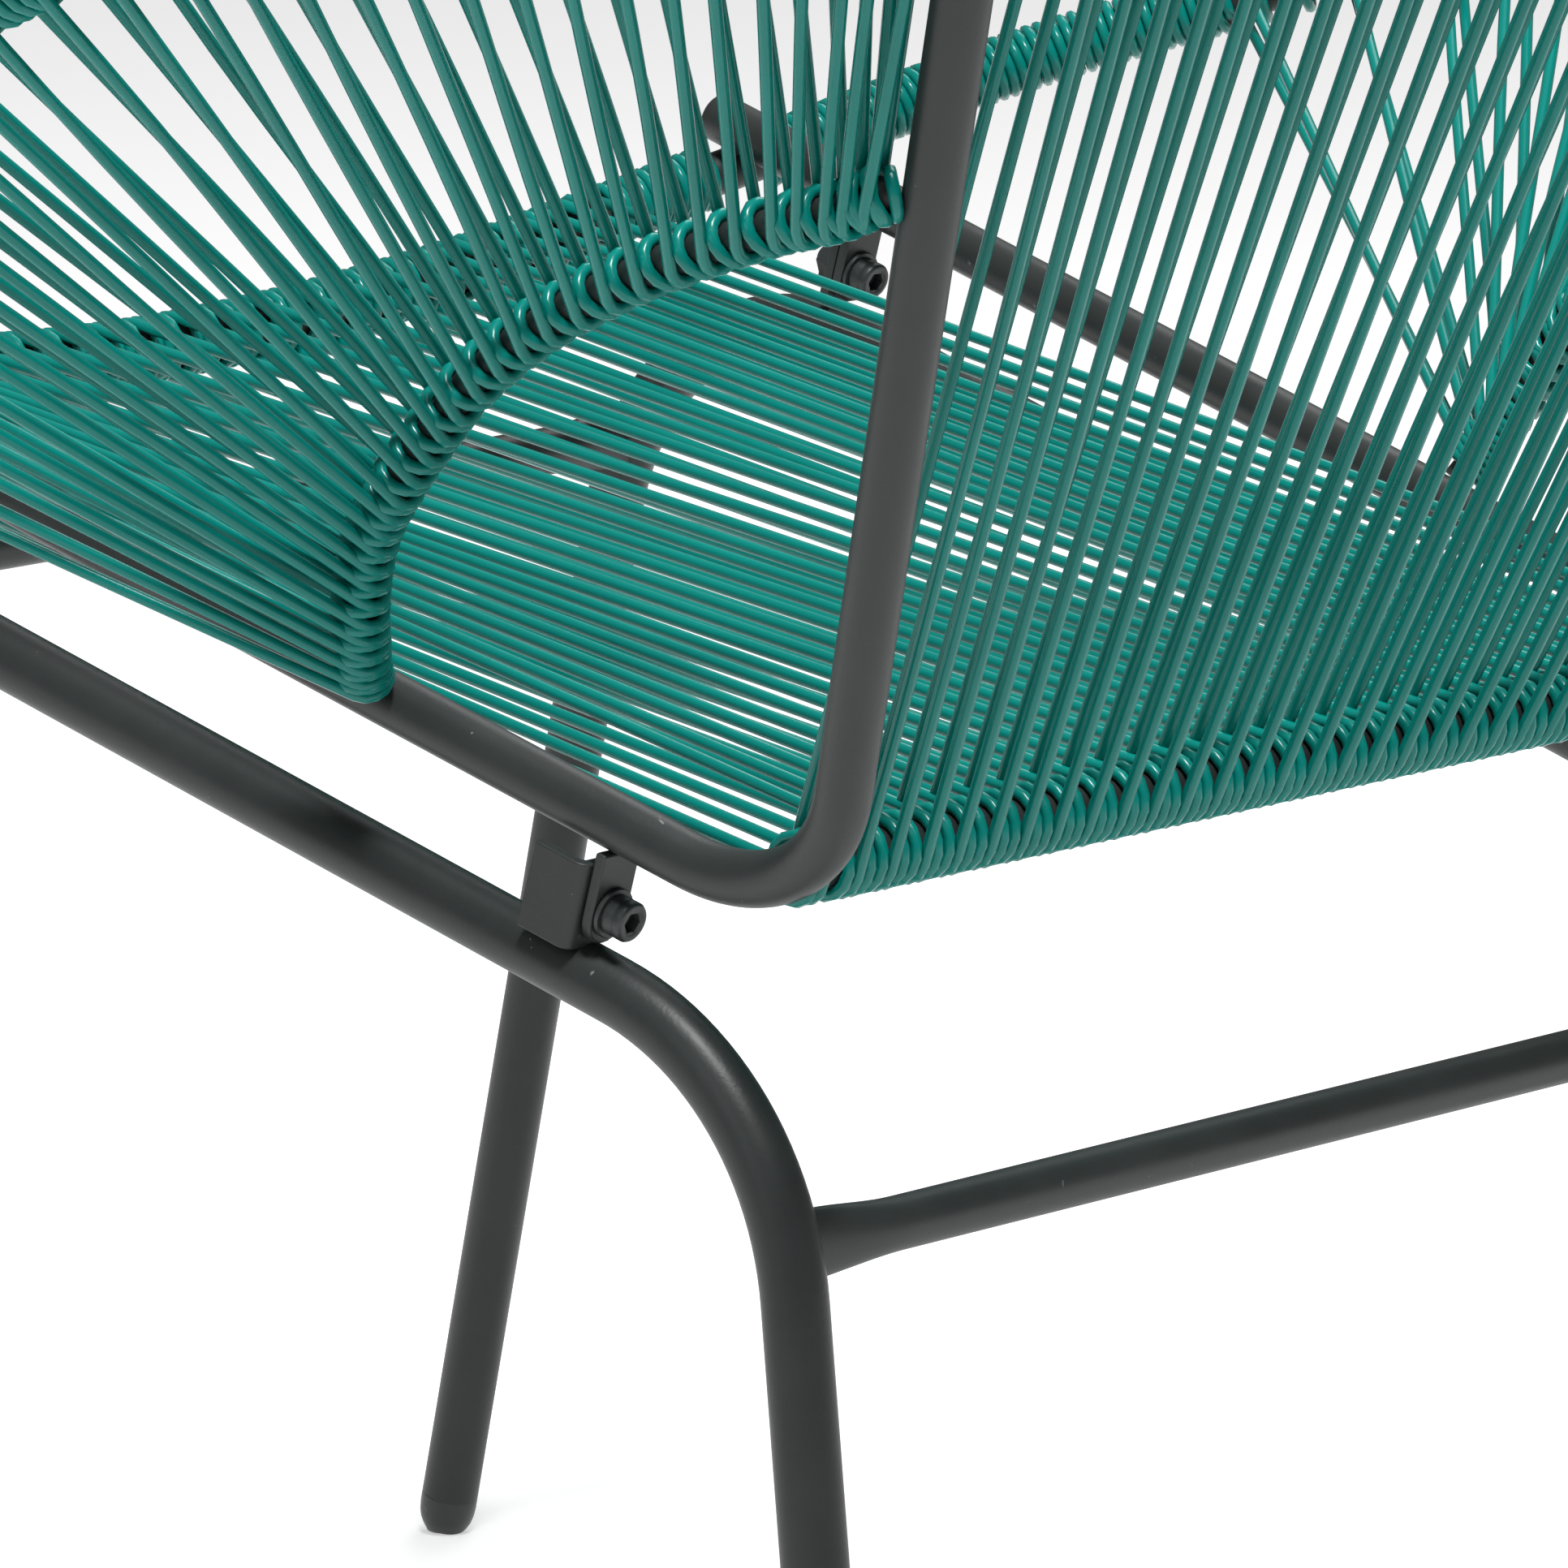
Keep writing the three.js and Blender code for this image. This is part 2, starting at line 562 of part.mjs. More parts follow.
// A square section swept along the path, its corners mitred.
function cord(path) {
  const rings = [];
  let up = null;
  for (let i = 0; i < path.length; i += 1) {
    const a = path[i].clone().sub(path[Math.max(i - 1, 0)]).normalize();
    const b = path[Math.min(i + 1, path.length - 1)].clone().sub(path[i]).normalize();
    const tangent = a.clone().add(b).normalize();
    const lead = i === 0 ? b : a;
    if (!up) up = Math.abs(lead.z) < half(1) ? V(0, 0, 1) : V(0, 1, 0);
    up.addScaledVector(lead, -up.dot(lead)).normalize();
    const side = lead.clone().cross(up);
    const ringPoints = [];
    for (let k = 0; k < cordSides; k += 1) {
      const angle = (k / cordSides) * 2 * Math.PI;
      const p = up.clone().multiplyScalar(cordRadius * Math.cos(angle))
        .addScaledVector(side, cordRadius * Math.sin(angle));
      // carried along the incoming segment onto the mitre plane
      p.addScaledVector(lead, -p.dot(tangent) / lead.dot(tangent));
      ringPoints.push(p.add(path[i]));
    }
    rings.push(ringPoints);
    const next = i === path.length - 1 ? lead : b;
    up = up.clone().addScaledVector(next, -up.dot(next)).normalize();
  }
  return skin(rings);
}
// The least gap of a cord to itself, from points along each run to all runs but its neighbours.
function selfGap(path) {
  const runs = path.slice(1).map((p, i) => new THREE.Line3(path[i], p));
  const around = (run) => new THREE.Box3().setFromPoints([run.start, run.end]);
  const boxes = runs.map((run) => around(run).expandByScalar(2 * cordRadius));
  let least = Infinity;
  const point = V(0, 0, 0);
  const close = V(0, 0, 0);
  runs.forEach((run, i) => {
    const others = runs.filter((other, j) => Math.abs(i - j) > 1 && boxes[i].intersectsBox(boxes[j]));
    const count = Math.ceil(run.distance() / cordRadius);
    for (let k = 0; k <= count; k += 1) {
      run.at(k / count, point);
      for (const other of others) {
        other.closestPointToPoint(point, true, close);
        least = Math.min(least, point.distanceTo(close));
      }
    }
  });
  return least - 2 * cordRadius;
}
function addCord(name, path) {
  const gap = selfGap(path);
  const length = path.slice(1).reduce((sum, p, i) => sum + p.distanceTo(path[i]), 0);
  const state = gap > leastCordGap ? 'clear' : 'TOO CLOSE';
  console.log(`${name}: length ${length.toFixed(0)} mm, least gap to itself ${gap.toFixed(2)} mm, ${state}`);
  add(name, cord(path), teal, cordRoughness, 0);
}
const wrapRadius = (core) => (core + cordGap + cordRadius) / Math.cos(half(Math.PI / wrapSteps));
const hoopPlace = (share) => ({
  centre: hoopPoint(share), tangent: hoopTangent(share), radius: wrapRadius(hoopRadius),
});
const crossPlace = (x) => ({
  centre: crossPoint(x), tangent: V(1, 0, 0), radius: wrapRadius(crossRodRadius),
});

const backMiddle = half(backCords - 1);
const backFar = (i) => hoopPlace(topShare - ((i - backMiddle) / backMiddle) * backTopShare);
const backNear = (i) => crossPlace((i - backMiddle) * crossPitch);
const backPath = cordPath(backNear, backFar, backCords, () => V(0, 1, -1));
addCord('back_cord_panel', backPath);

const seatCords = backCords - 1;
const seatMiddle = half(seatCords - 1);
const seatNear = (i) => {
  const turns = i - seatMiddle;
  const over = seatShiftShare * THREE.MathUtils.clamp(turns / seatShiftTurns, -1, 1);
  return crossPlace(crossPitch * (turns + over));
};
const seatFar = (i) => {
  const out = (i - seatMiddle) / seatMiddle;
  const inside = (Math.abs(out) * seatFanRunShare) / seatFanShare;
  const beyond = (Math.abs(out) - seatFanShare) / (1 - seatFanShare);
  const run = Math.abs(out) < seatFanShare ? inside : seatFanRunShare + beyond * (1 - seatFanRunShare);
  return hoopPlace(Math.sign(out) * run * seatFrontShare);
};
const seatPath = cordPath(seatNear, seatFar, seatCords, () => V(0, 0, 1));
addCord('seat_cord_panel', seatPath);

const armRun = armLength - armStart - armEnd;
// Value of column k of the wing's table for cord i, straight between rows; the end rows carry on.
const wingShare = (i, k) => {
  const at = i / (wingCords - 1);
  const row = wingShares.findIndex(([unit]) => unit > at);
  const n = row < 1 ? wingShares.length - 1 : row;
  const [a, b] = [wingShares[n - 1], wingShares[n]];
  return a[k] + ((at - a[0]) / (b[0] - a[0])) * (b[k] - a[k]);
};
const wingNear = (side) => (i) => {
  const t = (armStart + wingShare(i, 1) * armRun) / armLength;
  return {
    centre: mirrorX(armCurve.getPointAt(t), side),
    tangent: mirrorX(armCurve.getTangentAt(t), side).normalize(),
    radius: wrapRadius(arcRadius),
  };
};
const wingFar = (side) => (i) => {
  const s = wingFrontShare + wingShare(i, 2) * (wingTopShare - wingFrontShare);
  const place = hoopPlace(s);
  return { centre: mirrorX(place.centre, side), tangent: mirrorX(place.tangent, side), radius: place.radius };
};
for (const side of sides) {
  const path = cordPath(wingNear(side), wingFar(side), wingCords, () => V(side, 0, -half(1)));
  addCord(`wing_cord_panel_${sideName(side)}`, path);
}

// Origin at the bottom centre of the whole.
const box = new THREE.Box3();
for (const mesh of group.children) {
  mesh.geometry.computeBoundingBox();
  box.union(mesh.geometry.boundingBox);
}
const middle = box.getCenter(V(0, 0, 0));
for (const mesh of group.children) {
  mesh.geometry.translate(-middle.x, -middle.y, -box.min.z);
  mesh.geometry.computeVertexNormals();
}

export default group;
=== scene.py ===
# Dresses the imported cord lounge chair: smooth tubes, brackets and bolts, and the full cord winding.
import math
import random

import bpy
import numpy as np
from mathutils import Matrix, Vector


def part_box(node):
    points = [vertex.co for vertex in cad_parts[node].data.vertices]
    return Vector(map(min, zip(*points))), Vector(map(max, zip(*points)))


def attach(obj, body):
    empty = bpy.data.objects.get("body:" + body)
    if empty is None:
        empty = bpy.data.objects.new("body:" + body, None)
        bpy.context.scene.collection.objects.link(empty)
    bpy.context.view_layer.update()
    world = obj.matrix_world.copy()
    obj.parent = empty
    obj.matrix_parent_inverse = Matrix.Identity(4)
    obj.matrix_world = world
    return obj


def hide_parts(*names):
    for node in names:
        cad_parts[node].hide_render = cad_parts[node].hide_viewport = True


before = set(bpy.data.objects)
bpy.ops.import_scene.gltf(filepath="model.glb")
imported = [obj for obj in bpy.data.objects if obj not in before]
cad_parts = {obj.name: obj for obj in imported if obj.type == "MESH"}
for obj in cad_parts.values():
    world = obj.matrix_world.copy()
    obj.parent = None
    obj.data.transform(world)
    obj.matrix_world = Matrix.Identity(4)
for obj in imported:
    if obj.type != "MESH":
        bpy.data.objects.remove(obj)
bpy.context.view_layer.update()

MM = 0.001
TAU = 2 * math.pi


def vec(*a):
    return np.array(a, float)


def unit(v):
    return v / np.linalg.norm(v)


# Camera: the photograph's viewing angle, fitted to the tubes (millimetres in the design place, degrees).
CAMERA_PLACE = vec(2166.69, 2190.30, 847.11)
CAMERA_AZIMUTH, CAMERA_ELEVATION, CAMERA_ROLL = 132.137, 10.768, 0.016
CAMERA_LENS, CAMERA_SENSOR = 273.34, 36.0

# Sizes of the chair in millimetres, as in the solids. A share is a part of a curve's whole length.
HOOP_HALF, HOOP_DEPTH, HOOP_RISE, HOOP_FRONT_Z = 370.0, 681.0, 476.0, 377.0
# Where the lines of the seat rail and the back post meet, left of the sitter.
CORNER = vec(189.8, 413.7, 307.1)
HOOP_R, ROD_R, CROSS_R, ARC_R, LEG_R, STRETCHER_R = 6.0, 6.7, 6.0, 4.0, 8.0, 6.45
WELD_GAP, ROD_BEND, LEG_BEND, CROSS_SET = 0.3, 50.0, 80.0, 0.7
POST_OVERRUN, RAIL_OVERRUN = 9.0, 7.0
RAIL_DROP, KNEE_REAR_SET, KNEE_SPAN = 38.7, 2.8, 400.0
LEG_FLARE, REAR_SPLAY, FRONT_SPLAY = 0.05, 0.148, 0.266
REAR_STRETCHER_Z, FRONT_STRETCHER_Z = 232.0, 329.0
STRETCHER_FLARE, STRETCHER_PINCH, FLARE_LENGTH = 1.35, 0.62, 34.0
CAP_RISE, CAP_FLAT_R = 12.0, 4.2
BRACKET_SETS = {"rear": 61.4, "front": 336.0}
PLATE, TAB_W, TAB_L, LEG_PLATE_H, FLANGE = 3.0, 13.0, 22.5, 21.0, 16.0
BOLT_R, BOLT_DROP = 3.0, 21.2
HEAD_R, HEAD_H, SOCKET_R, SOCKET_D = 5.0, 5.6, 2.6, 3.0
WASHER_R, WASHER_T, NUT_R, NUT_H, NUT_CLEAR, TAIL = 6.2, 1.2, 5.6, 4.6, 0.5, 1.6
# Shares of the hoop, from its front's middle: the welds, and the outermost cords of the back and the seat.
POST_SHARE, RAIL_SHARE = 0.3496, 0.0805
BACK_SHARE, SEAT_SHARE = 0.12, 0.0617
# The seat's middle fan: its share of the cords, and of the way along the hoop.
SEAT_FAN_SHARE, SEAT_FAN_RUN_SHARE = 0.467, 0.624
BACK_CORDS, WING_CORDS, CROSS_PITCH = 32, 32, 11.5
ARM_REACH, ARM_RISE = 141.0, 222.0
# Wing cords from the lowest up: cord number, place along the arc brace in mm, place on the hoop as a share.
WING_ROWS = [
    (0, 4.0, 0.138), (2, 13.0, 0.1615), (5, 28.0, 0.185), (8, 45.5, 0.2025), (12, 72.0, 0.2245),
    (16, 111.0, 0.2525), (20, 158.6, 0.2744), (24, 210.4, 0.299), (27, 248.5, 0.3185), (29, 264.5, 0.3325),
    (31, 274.0, 0.3462)]

# The hoop's left half from the front's middle: shares of its half width, depth and rise.
HOOP_SHARES = [
    (0, 0, 0), (0.27, 0.007, 0.015), (0.541, 0.034, 0.0595), (0.789, 0.095, 0.12), (0.946, 0.228, 0.187),
    (1, 0.382, 0.263), (0.986, 0.514, 0.345), (0.946, 0.69, 0.473), (0.859, 0.869, 0.658),
    (0.689, 0.94, 0.83), (0.459, 0.9765, 0.937), (0.238, 0.994, 0.985), (0, 1, 1)]
# The arc brace from rail to post: shares of its reach along the rail, of its rise along the post, and of its
# distance from the rods' plane.
ARM_SHARES = [
    (0.993, 0.027, 0.58), (0.995, 0.079, 0.82), (0.998, 0.151, 1), (1, 0.21, 1), (0.987, 0.267, 1),
    (0.95, 0.335, 1), (0.898, 0.411, 1), (0.825, 0.505, 1), (0.712, 0.61, 1), (0.603, 0.689, 1),
    (0.478, 0.767, 1), (0.354, 0.835, 1), (0.238, 0.894, 1), (0.12, 0.945, 0.86), (0.07, 0.97, 0.59),
    (0.05, 0.976, 0.27)]

# Roundings and small setbacks of the metal parts, in millimetres.
ROD_END = 1.2
CROSS_END_SHARE = 0.6
TAB_EDGE, BRACKET_EDGE, WASHER_EDGE = 0.7, 0.8, 0.3
TAB_TOP_SHARE = 0.93
BRACKET_BEND, BRACKET_LEAD, BRACKET_INSIDE, BRACKET_SINK, BRACKET_BEND_START = 3.2, 3.4, 0.8, 0.8, 0.15
NUT_CHAMFER, NUT_FACE_SHARE, SHANK_TIP = 0.6, 0.9, 0.4

# Outlines of turned parts. Cut rod end: share of the rounding's length, share of it taken off the radius.
ROD_END_PROFILE = [(0, 1), (0.35, 0.3), (1, 0)]
# Foot cap: share of its height from the tube's end, share of the leg's radius.
CAP_PROFILE = [
    (-0.02, 0.97), (0.015, 0.99), (0.05, 1), (0.3, 1), (0.5, 0.975), (0.66, 0.915), (0.78, 0.83),
    (0.87, 0.74)]
# The cap's flat face: radius, height above the floor.
CAP_FACE = [(CAP_FLAT_R * 1.12, 0.25), (CAP_FLAT_R, 0.0)]
# Bolt head with its groove: share of its radius, share of its height. Then the socket's lead and hexagon.
HEAD_PROFILE = [(1, 0), (1, 0.42), (0.97, 0.5), (1, 0.58), (1, 0.86), (0.93, 0.97), (0.85, 1)]
SOCKET_LEAD = [(1.28, 1), (1.2, 0.97)]
SOCKET_RIM = [(1.06, 0.95), (1, 0.9)]

# How finely the curves are drawn: steps along a line, sides of a round section.
HOOP_STEPS, ARM_STEPS, CORNER_STEPS, FILLET_STEPS, FLARE_STEPS = 420, 60, 32, 24, 15
HOOP_SIDES, ROD_SIDES, ARM_SIDES, CROSS_SIDES, LEG_SIDES = 20, 36, 18, 24, 44
CAP_SIDES, STRETCHER_SIDES, BOLT_SIDES, TAB_ARC_STEPS, BRACKET_ARC_STEPS = 36, 36, 40, 15, 7
EDGE_STEPS, EDGE_ANGLE = 3, 35

# Cord: its radius, the air between it and a tube, the sides of its section and the steps of one turn.
CORD_R, CORD_AIR = 1.55, 0.12
CORD_SIDES, TURN_STEPS = 8, 14
# Turns that lie side by side on the hoop for each cord. The seat has more in its middle than at its sides.
BACK_STRANDS, WING_STRANDS, SEAT_WIDE_STRANDS, SEAT_CLOSE_STRANDS = 6, 5, 4, 2
# The seat's cords pass the cross tube a little aside of the back's.
SEAT_ASIDE = CROSS_PITCH / 6
# Long passes are never quite straight: parts of a pass and how far its inner points stray.
PASS_PARTS, PANEL_STRAY, WING_STRAY, CORD_SEED = 7, 0.5, 0.7, 11

# Plain turns where no cord leaves a tube: pitch, and the shares of the hoop left free of them.
COIL_PITCH, CROSS_COIL_PITCH = 3.25, 3.3
POST_FREE, RAIL_FREE, BACK_FREE, SEAT_FREE, WING_FREE = 0.0036, 0.0034, 0.0006, 0.0012, 0.0007
# On the cross tube they start so many cords past the back's last one, right and left, and stop 1 mm short of
# the bend.
BACK_EDGE, CROSS_END = {-1: 0.3, 1: 0.8}, 1.0
# At the arc brace's top they start past the last cord and stop short of the post.
WING_END, POST_CLEAR = 6.0, 9.0
# No run of plain turns is shorter than this.
LEAST_TURNS, LEAST_STEPS = 0.5, 4

# Directions that no pass and no tube runs along.
STRAY_AXIS, COIL_AXIS = vec(0.3, 0.2, 1), vec(0.31, 0.2, 0.93)


class Spline:
    """Centripetal Catmull-Rom curve, read by share of its length."""

    def __init__(self, points, closed, count=5000):
        pts = [np.array(p, float) for p in points]
        n = len(pts)
        spans = n if closed else n - 1
        out = []
        for k in range(spans):
            p1, p2 = pts[k], pts[(k + 1) % n]
            p0 = pts[(k - 1) % n] if closed or k else 2 * pts[0] - pts[1]
            p3 = pts[(k + 2) % n] if closed or k + 2 < n else 2 * pts[-1] - pts[-2]
            d0, d1, d2 = (np.linalg.norm(a - b) ** 0.5 for a, b in ((p1, p0), (p2, p1), (p3, p2)))
            m1 = ((p1 - p0) / d0 - (p2 - p0) / (d0 + d1) + (p2 - p1) / d1) * d1
            m2 = ((p2 - p1) / d1 - (p3 - p1) / (d1 + d2) + (p3 - p2) / d2) * d1
            t = np.linspace(0, 1, count // spans, endpoint=False)[:, None]
            out.append(p1 + m1 * t + (-3 * p1 + 3 * p2 - 2 * m1 - m2) * t ** 2
                       + (2 * p1 - 2 * p2 + m1 + m2) * t ** 3)
        out.append((pts[0] if closed else pts[-1])[None])
        self.x = np.concatenate(out)
        self.s = np.r_[0, np.cumsum(np.linalg.norm(np.diff(self.x, axis=0), axis=1))]
        self.length = self.s[-1]
        self.closed = closed

    def point(self, share):
        s = (share % 1 if self.closed else min(max(share, 0), 1)) * self.length
        return np.array([np.interp(s, self.s, self.x[:, k]) for k in range(3)])

    def tangent(self, share):
        step = 1.0 / self.length
        return unit(self.point(share + step) - self.point(share - step))


def fillet(a, corner, c, radius, steps=FILLET_STEPS):
    """Points of the arc that rounds the corner between a and c."""
    u, w = unit(a - corner), unit(c - corner)
    half = math.acos(np.dot(u, w)) / 2
    centre = corner + unit(u + w) * radius / math.sin(half)
    e0 = corner + u * radius / math.tan(half) - centre
    e1 = corner + w * radius / math.tan(half) - centre
    sweep = math.acos(np.dot(unit(e0), unit(e1)))
    return [centre + (math.sin((1 - t) * sweep) * e0 + math.sin(t * sweep) * e1) / math.sin(sweep)
            for t in np.linspace(0, 1, steps + 1)]


def mirror(p, side):
    return np.asarray(p, float) * [side, 1, 1]


# Frame lines, in the solids' own design place.
left_half = [vec(x * HOOP_HALF, y * HOOP_DEPTH, HOOP_FRONT_Z + z * HOOP_RISE) for x, y, z in HOOP_SHARES]
hoop = Spline(left_half + [mirror(p, -1) for p in left_half[-2:0:-1]], True)


def rest_point(share, outward):
    """Where a rod's axis lies when the rod is welded to the hoop on its outward side."""
    p = hoop.point(share)
    normal = unit(np.cross(hoop.tangent(share), unit(p - CORNER)))
    if np.dot(normal, outward) < 0:
        normal = -normal
    return p + normal * (HOOP_R + ROD_R + WELD_GAP)


rail_rest, post_rest = rest_point(RAIL_SHARE, vec(0, 0, 1)), rest_point(POST_SHARE, vec(0, 1, 0))
rail_dir, post_dir = unit(rail_rest - CORNER), unit(post_rest - CORNER)
rail_end = rail_rest + rail_dir * RAIL_OVERRUN
post_end = post_rest + post_dir * POST_OVERRUN
rod_line = [rail_end] + fillet(rail_end, CORNER, post_end, ROD_BEND, CORNER_STEPS) + [post_end]
corner_bend = rod_line[1 + CORNER_STEPS // 2]
plane_normal = unit(np.cross(rail_dir, post_dir))
plane_normal = plane_normal * np.sign(plane_normal[0])
cross_centre = corner_bend + unit(rail_dir + post_dir) * CROSS_SET
arm_offset = ROD_R + ARC_R + WELD_GAP
arm = Spline([CORNER + rail_dir * a * ARM_REACH + post_dir * b * ARM_RISE + plane_normal * c * arm_offset
              for a, b, c in ARM_SHARES], False)
rail_normal = unit(vec(0, -rail_dir[2], rail_dir[1]))
rail_normal = rail_normal * np.sign(rail_normal[2])


def rail_point(distance):
    """The seat rail's axis so far forward of the corner."""
    return CORNER + rail_dir * distance / abs(rail_dir[1])


knee_rear = rail_point(KNEE_REAR_SET) - rail_normal * RAIL_DROP
knee_front = rail_point(KNEE_REAR_SET + KNEE_SPAN) - rail_normal * RAIL_DROP
rear_leg, front_leg = vec(LEG_FLARE, REAR_SPLAY, -1), vec(LEG_FLARE, -FRONT_SPLAY, -1)
rear_end = knee_rear + rear_leg * (knee_rear[2] - CAP_RISE)
front_end = knee_front + front_leg * (knee_front[2] - CAP_RISE)
rear_bend = fillet(rear_end, knee_rear, knee_front, LEG_BEND)
front_bend = fillet(knee_rear, knee_front, front_end, LEG_BEND)
leg_line = [rear_end] + rear_bend + front_bend + [front_end]

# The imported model's origin is at the bottom centre of its box: this shift takes the design place there.
low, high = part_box("seat_cross_tube_rear")
SHIFT = vec(0, (low[1] + high[1]) / 2 / MM - cross_centre[1], 0)


class Soup:
    """Collects swept tubes and prisms into one mesh."""

    def __init__(self):
        self.v, self.f, self.n = [], [], 0

    def put(self, verts, faces):
        self.v.append(np.asarray(verts, float))
        self.f.extend([tuple(i + self.n for i in face) for face in faces])
        self.n += len(verts)

    def sweep(self, path, radius, sides=CORD_SIDES, closed=False):
        """A round tube along a path. radius is one number or one for each point."""
        p = np.asarray(path, float)
        n = len(p)
        t = (np.roll(p, -1, 0) - np.roll(p, 1, 0)) if closed else np.gradient(p, axis=0)
        t = t / np.linalg.norm(t, axis=1)[:, None]
        v = np.empty_like(p)
        a = vec(0, 0, 1) if abs(t[0][2]) < 0.9 else vec(1, 0, 0)
        for i in range(n):
            a = unit(a - t[i] * np.dot(a, t[i]))
            v[i] = a
        w = np.cross(t, v)
        if closed:
            a = unit(v[-1] - t[0] * np.dot(v[-1], t[0]))
            off = math.atan2(np.dot(a, w[0]), np.dot(a, v[0]))
            turn = -off * np.arange(n) / n
            v, w = (v * np.cos(turn)[:, None] + w * np.sin(turn)[:, None],
                    w * np.cos(turn)[:, None] - v * np.sin(turn)[:, None])
        ang = np.arange(sides) * TAU / sides
        r = np.broadcast_to(np.asarray(radius, float), (n,))[:, None, None]
        rings = p[:, None] + r * (np.cos(ang)[None, :, None] * v[:, None]
                                  + np.sin(ang)[None, :, None] * w[:, None])
        if closed:
            self.put(rings.reshape(-1, 3), ring_faces(n, sides, n))
        else:
            self.rings(rings)

    def rings(self, rings):
        """Rings of as many points each, joined in their order and closed at both ends."""
        count, sides = len(rings), len(rings[0])
        faces = ring_faces(count - 1, sides, count)
        faces.append(tuple(range(sides - 1, -1, -1)))
        faces.append(tuple((count - 1) * sides + j for j in range(sides)))
        self.put(np.concatenate(rings), faces)

    def make(self, name, finish, replaces, slot="charcoal_frame", bevel=0.0, flip=False, sharp=40):
        """Turns the mesh into one piece. flip mends mirrored faces; edges over sharp degrees stay crisp."""
        mesh = bpy.data.meshes.new(name)
        verts = (np.concatenate(self.v) + SHIFT) * MM
        faces = [tuple(reversed(f)) for f in self.f] if flip else self.f
        mesh.from_pydata(verts.tolist(), [], faces)
        mesh.update()
        ob = bpy.data.objects.new(name, mesh)
        bpy.context.scene.collection.objects.link(ob)
        mesh.materials.append(finish)
        for poly in mesh.polygons:
            poly.use_smooth = True
        if sharp:
            mesh.set_sharp_from_angle(angle=math.radians(sharp))
        if bevel:
            mod = ob.modifiers.new("edge", "BEVEL")
            mod.width, mod.segments, mod.limit_method = bevel * MM, EDGE_STEPS, "ANGLE"
            mod.angle_limit = math.radians(EDGE_ANGLE)
            mod.harden_normals = True
        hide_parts(*replaces)
        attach(ob, "root")


def ring_faces(bands, sides, count):
    """The quads of so many bands between count rings; the last ring is followed by the first."""
    faces = []
    for i in range(bands):
        start, after = i * sides, (i + 1) % count * sides
        for j in range(sides):
            m = (j + 1) % sides
            faces.append((start + j, start + m, after + m, after + j))
    return faces


def material(name, base, rough, build, **sockets):
    """A Principled material; build adds the nodes that vary it over the surface."""
    m = bpy.data.materials.new(name)
    m.use_nodes = True
    nt = m.node_tree
    bsdf = nt.nodes["Principled BSDF"]
    bsdf.inputs["Base Color"].default_value = (*base, 1)
    bsdf.inputs["Roughness"].default_value = rough
    for key, value in sockets.items():
        bsdf.inputs[key.replace("_", " ")].default_value = value
    build(nt, bsdf)
    return m


def object_coords(nt):
    return nt.nodes.new("ShaderNodeTexCoord").outputs["Object"]


def noise(nt, coord, scale, detail):
    tex = nt.nodes.new("ShaderNodeTexNoise")
    tex.inputs["Scale"].default_value = scale
    tex.inputs["Detail"].default_value = detail
    nt.links.new(coord, tex.inputs["Vector"])
    return tex.outputs["Fac"]


def ramp(nt, source, stops):
    """Colours by place: stops are (place, colour) pairs."""
    node = nt.nodes.new("ShaderNodeValToRGB")
    for element, (place, colour) in zip(node.color_ramp.elements, stops):
        element.position, element.color = place, (*colour, 1)
    nt.links.new(source, node.inputs[0])
    return node.outputs["Color"]


def shades(base, dark, pale):
    return [c * dark for c in base], [c * pale for c in base]


def vary_roughness(nt, bsdf, source, least, most):
    rough = nt.nodes.new("ShaderNodeMapRange")
    nt.links.new(source, rough.inputs["Value"])
    rough.inputs["To Min"].default_value, rough.inputs["To Max"].default_value = least, most
    nt.links.new(rough.outputs["Result"], bsdf.inputs["Roughness"])


def add_bump(nt, bsdf, source, strength, distance):
    bump = nt.nodes.new("ShaderNodeBump")
    bump.inputs["Strength"].default_value = strength
    bump.inputs["Distance"].default_value = distance
    nt.links.new(source, bump.inputs["Height"])
    nt.links.new(bump.outputs["Normal"], bsdf.inputs["Normal"])


def powder_coat(base, speck):
    """Satin powder coat: faint mottling, orange-peel bump and a few pale scuffs."""
    def build(nt, bsdf):
        coord = object_coords(nt)
        mottle = noise(nt, coord, scale=38, detail=4)
        dark, pale = shades(base, dark=0.86, pale=1.14)
        scuffs = ramp(nt, noise(nt, coord, scale=210, detail=6), [(0.73, (0, 0, 0)), (0.79, (1, 1, 1))])
        mix = nt.nodes.new("ShaderNodeMix")
        mix.data_type = "RGBA"
        nt.links.new(scuffs, mix.inputs["Factor"])
        nt.links.new(ramp(nt, mottle, [(0.3, dark), (0.7, pale)]), mix.inputs["A"])
        mix.inputs["B"].default_value = (*speck, 1)
        nt.links.new(mix.outputs["Result"], bsdf.inputs["Base Color"])
        vary_roughness(nt, bsdf, mottle, least=0.36, most=0.5)
        add_bump(nt, bsdf, noise(nt, coord, scale=900, detail=2), strength=0.12, distance=0.0004)
    return build


def cord_skin(base):
    """Glossy extruded plastic: slow tone changes along the cords and a faint drawn texture."""
    def build(nt, bsdf):
        coord = object_coords(nt)
        tone = noise(nt, coord, scale=14, detail=3)
        dark, pale = shades(base, dark=0.88, pale=1.1)
        nt.links.new(ramp(nt, tone, [(0.3, dark), (0.72, pale)]), bsdf.inputs["Base Color"])
        vary_roughness(nt, bsdf, tone, least=0.2, most=0.28)
        add_bump(nt, bsdf, noise(nt, coord, scale=420, detail=2), strength=0.1, distance=0.0003)
    return build


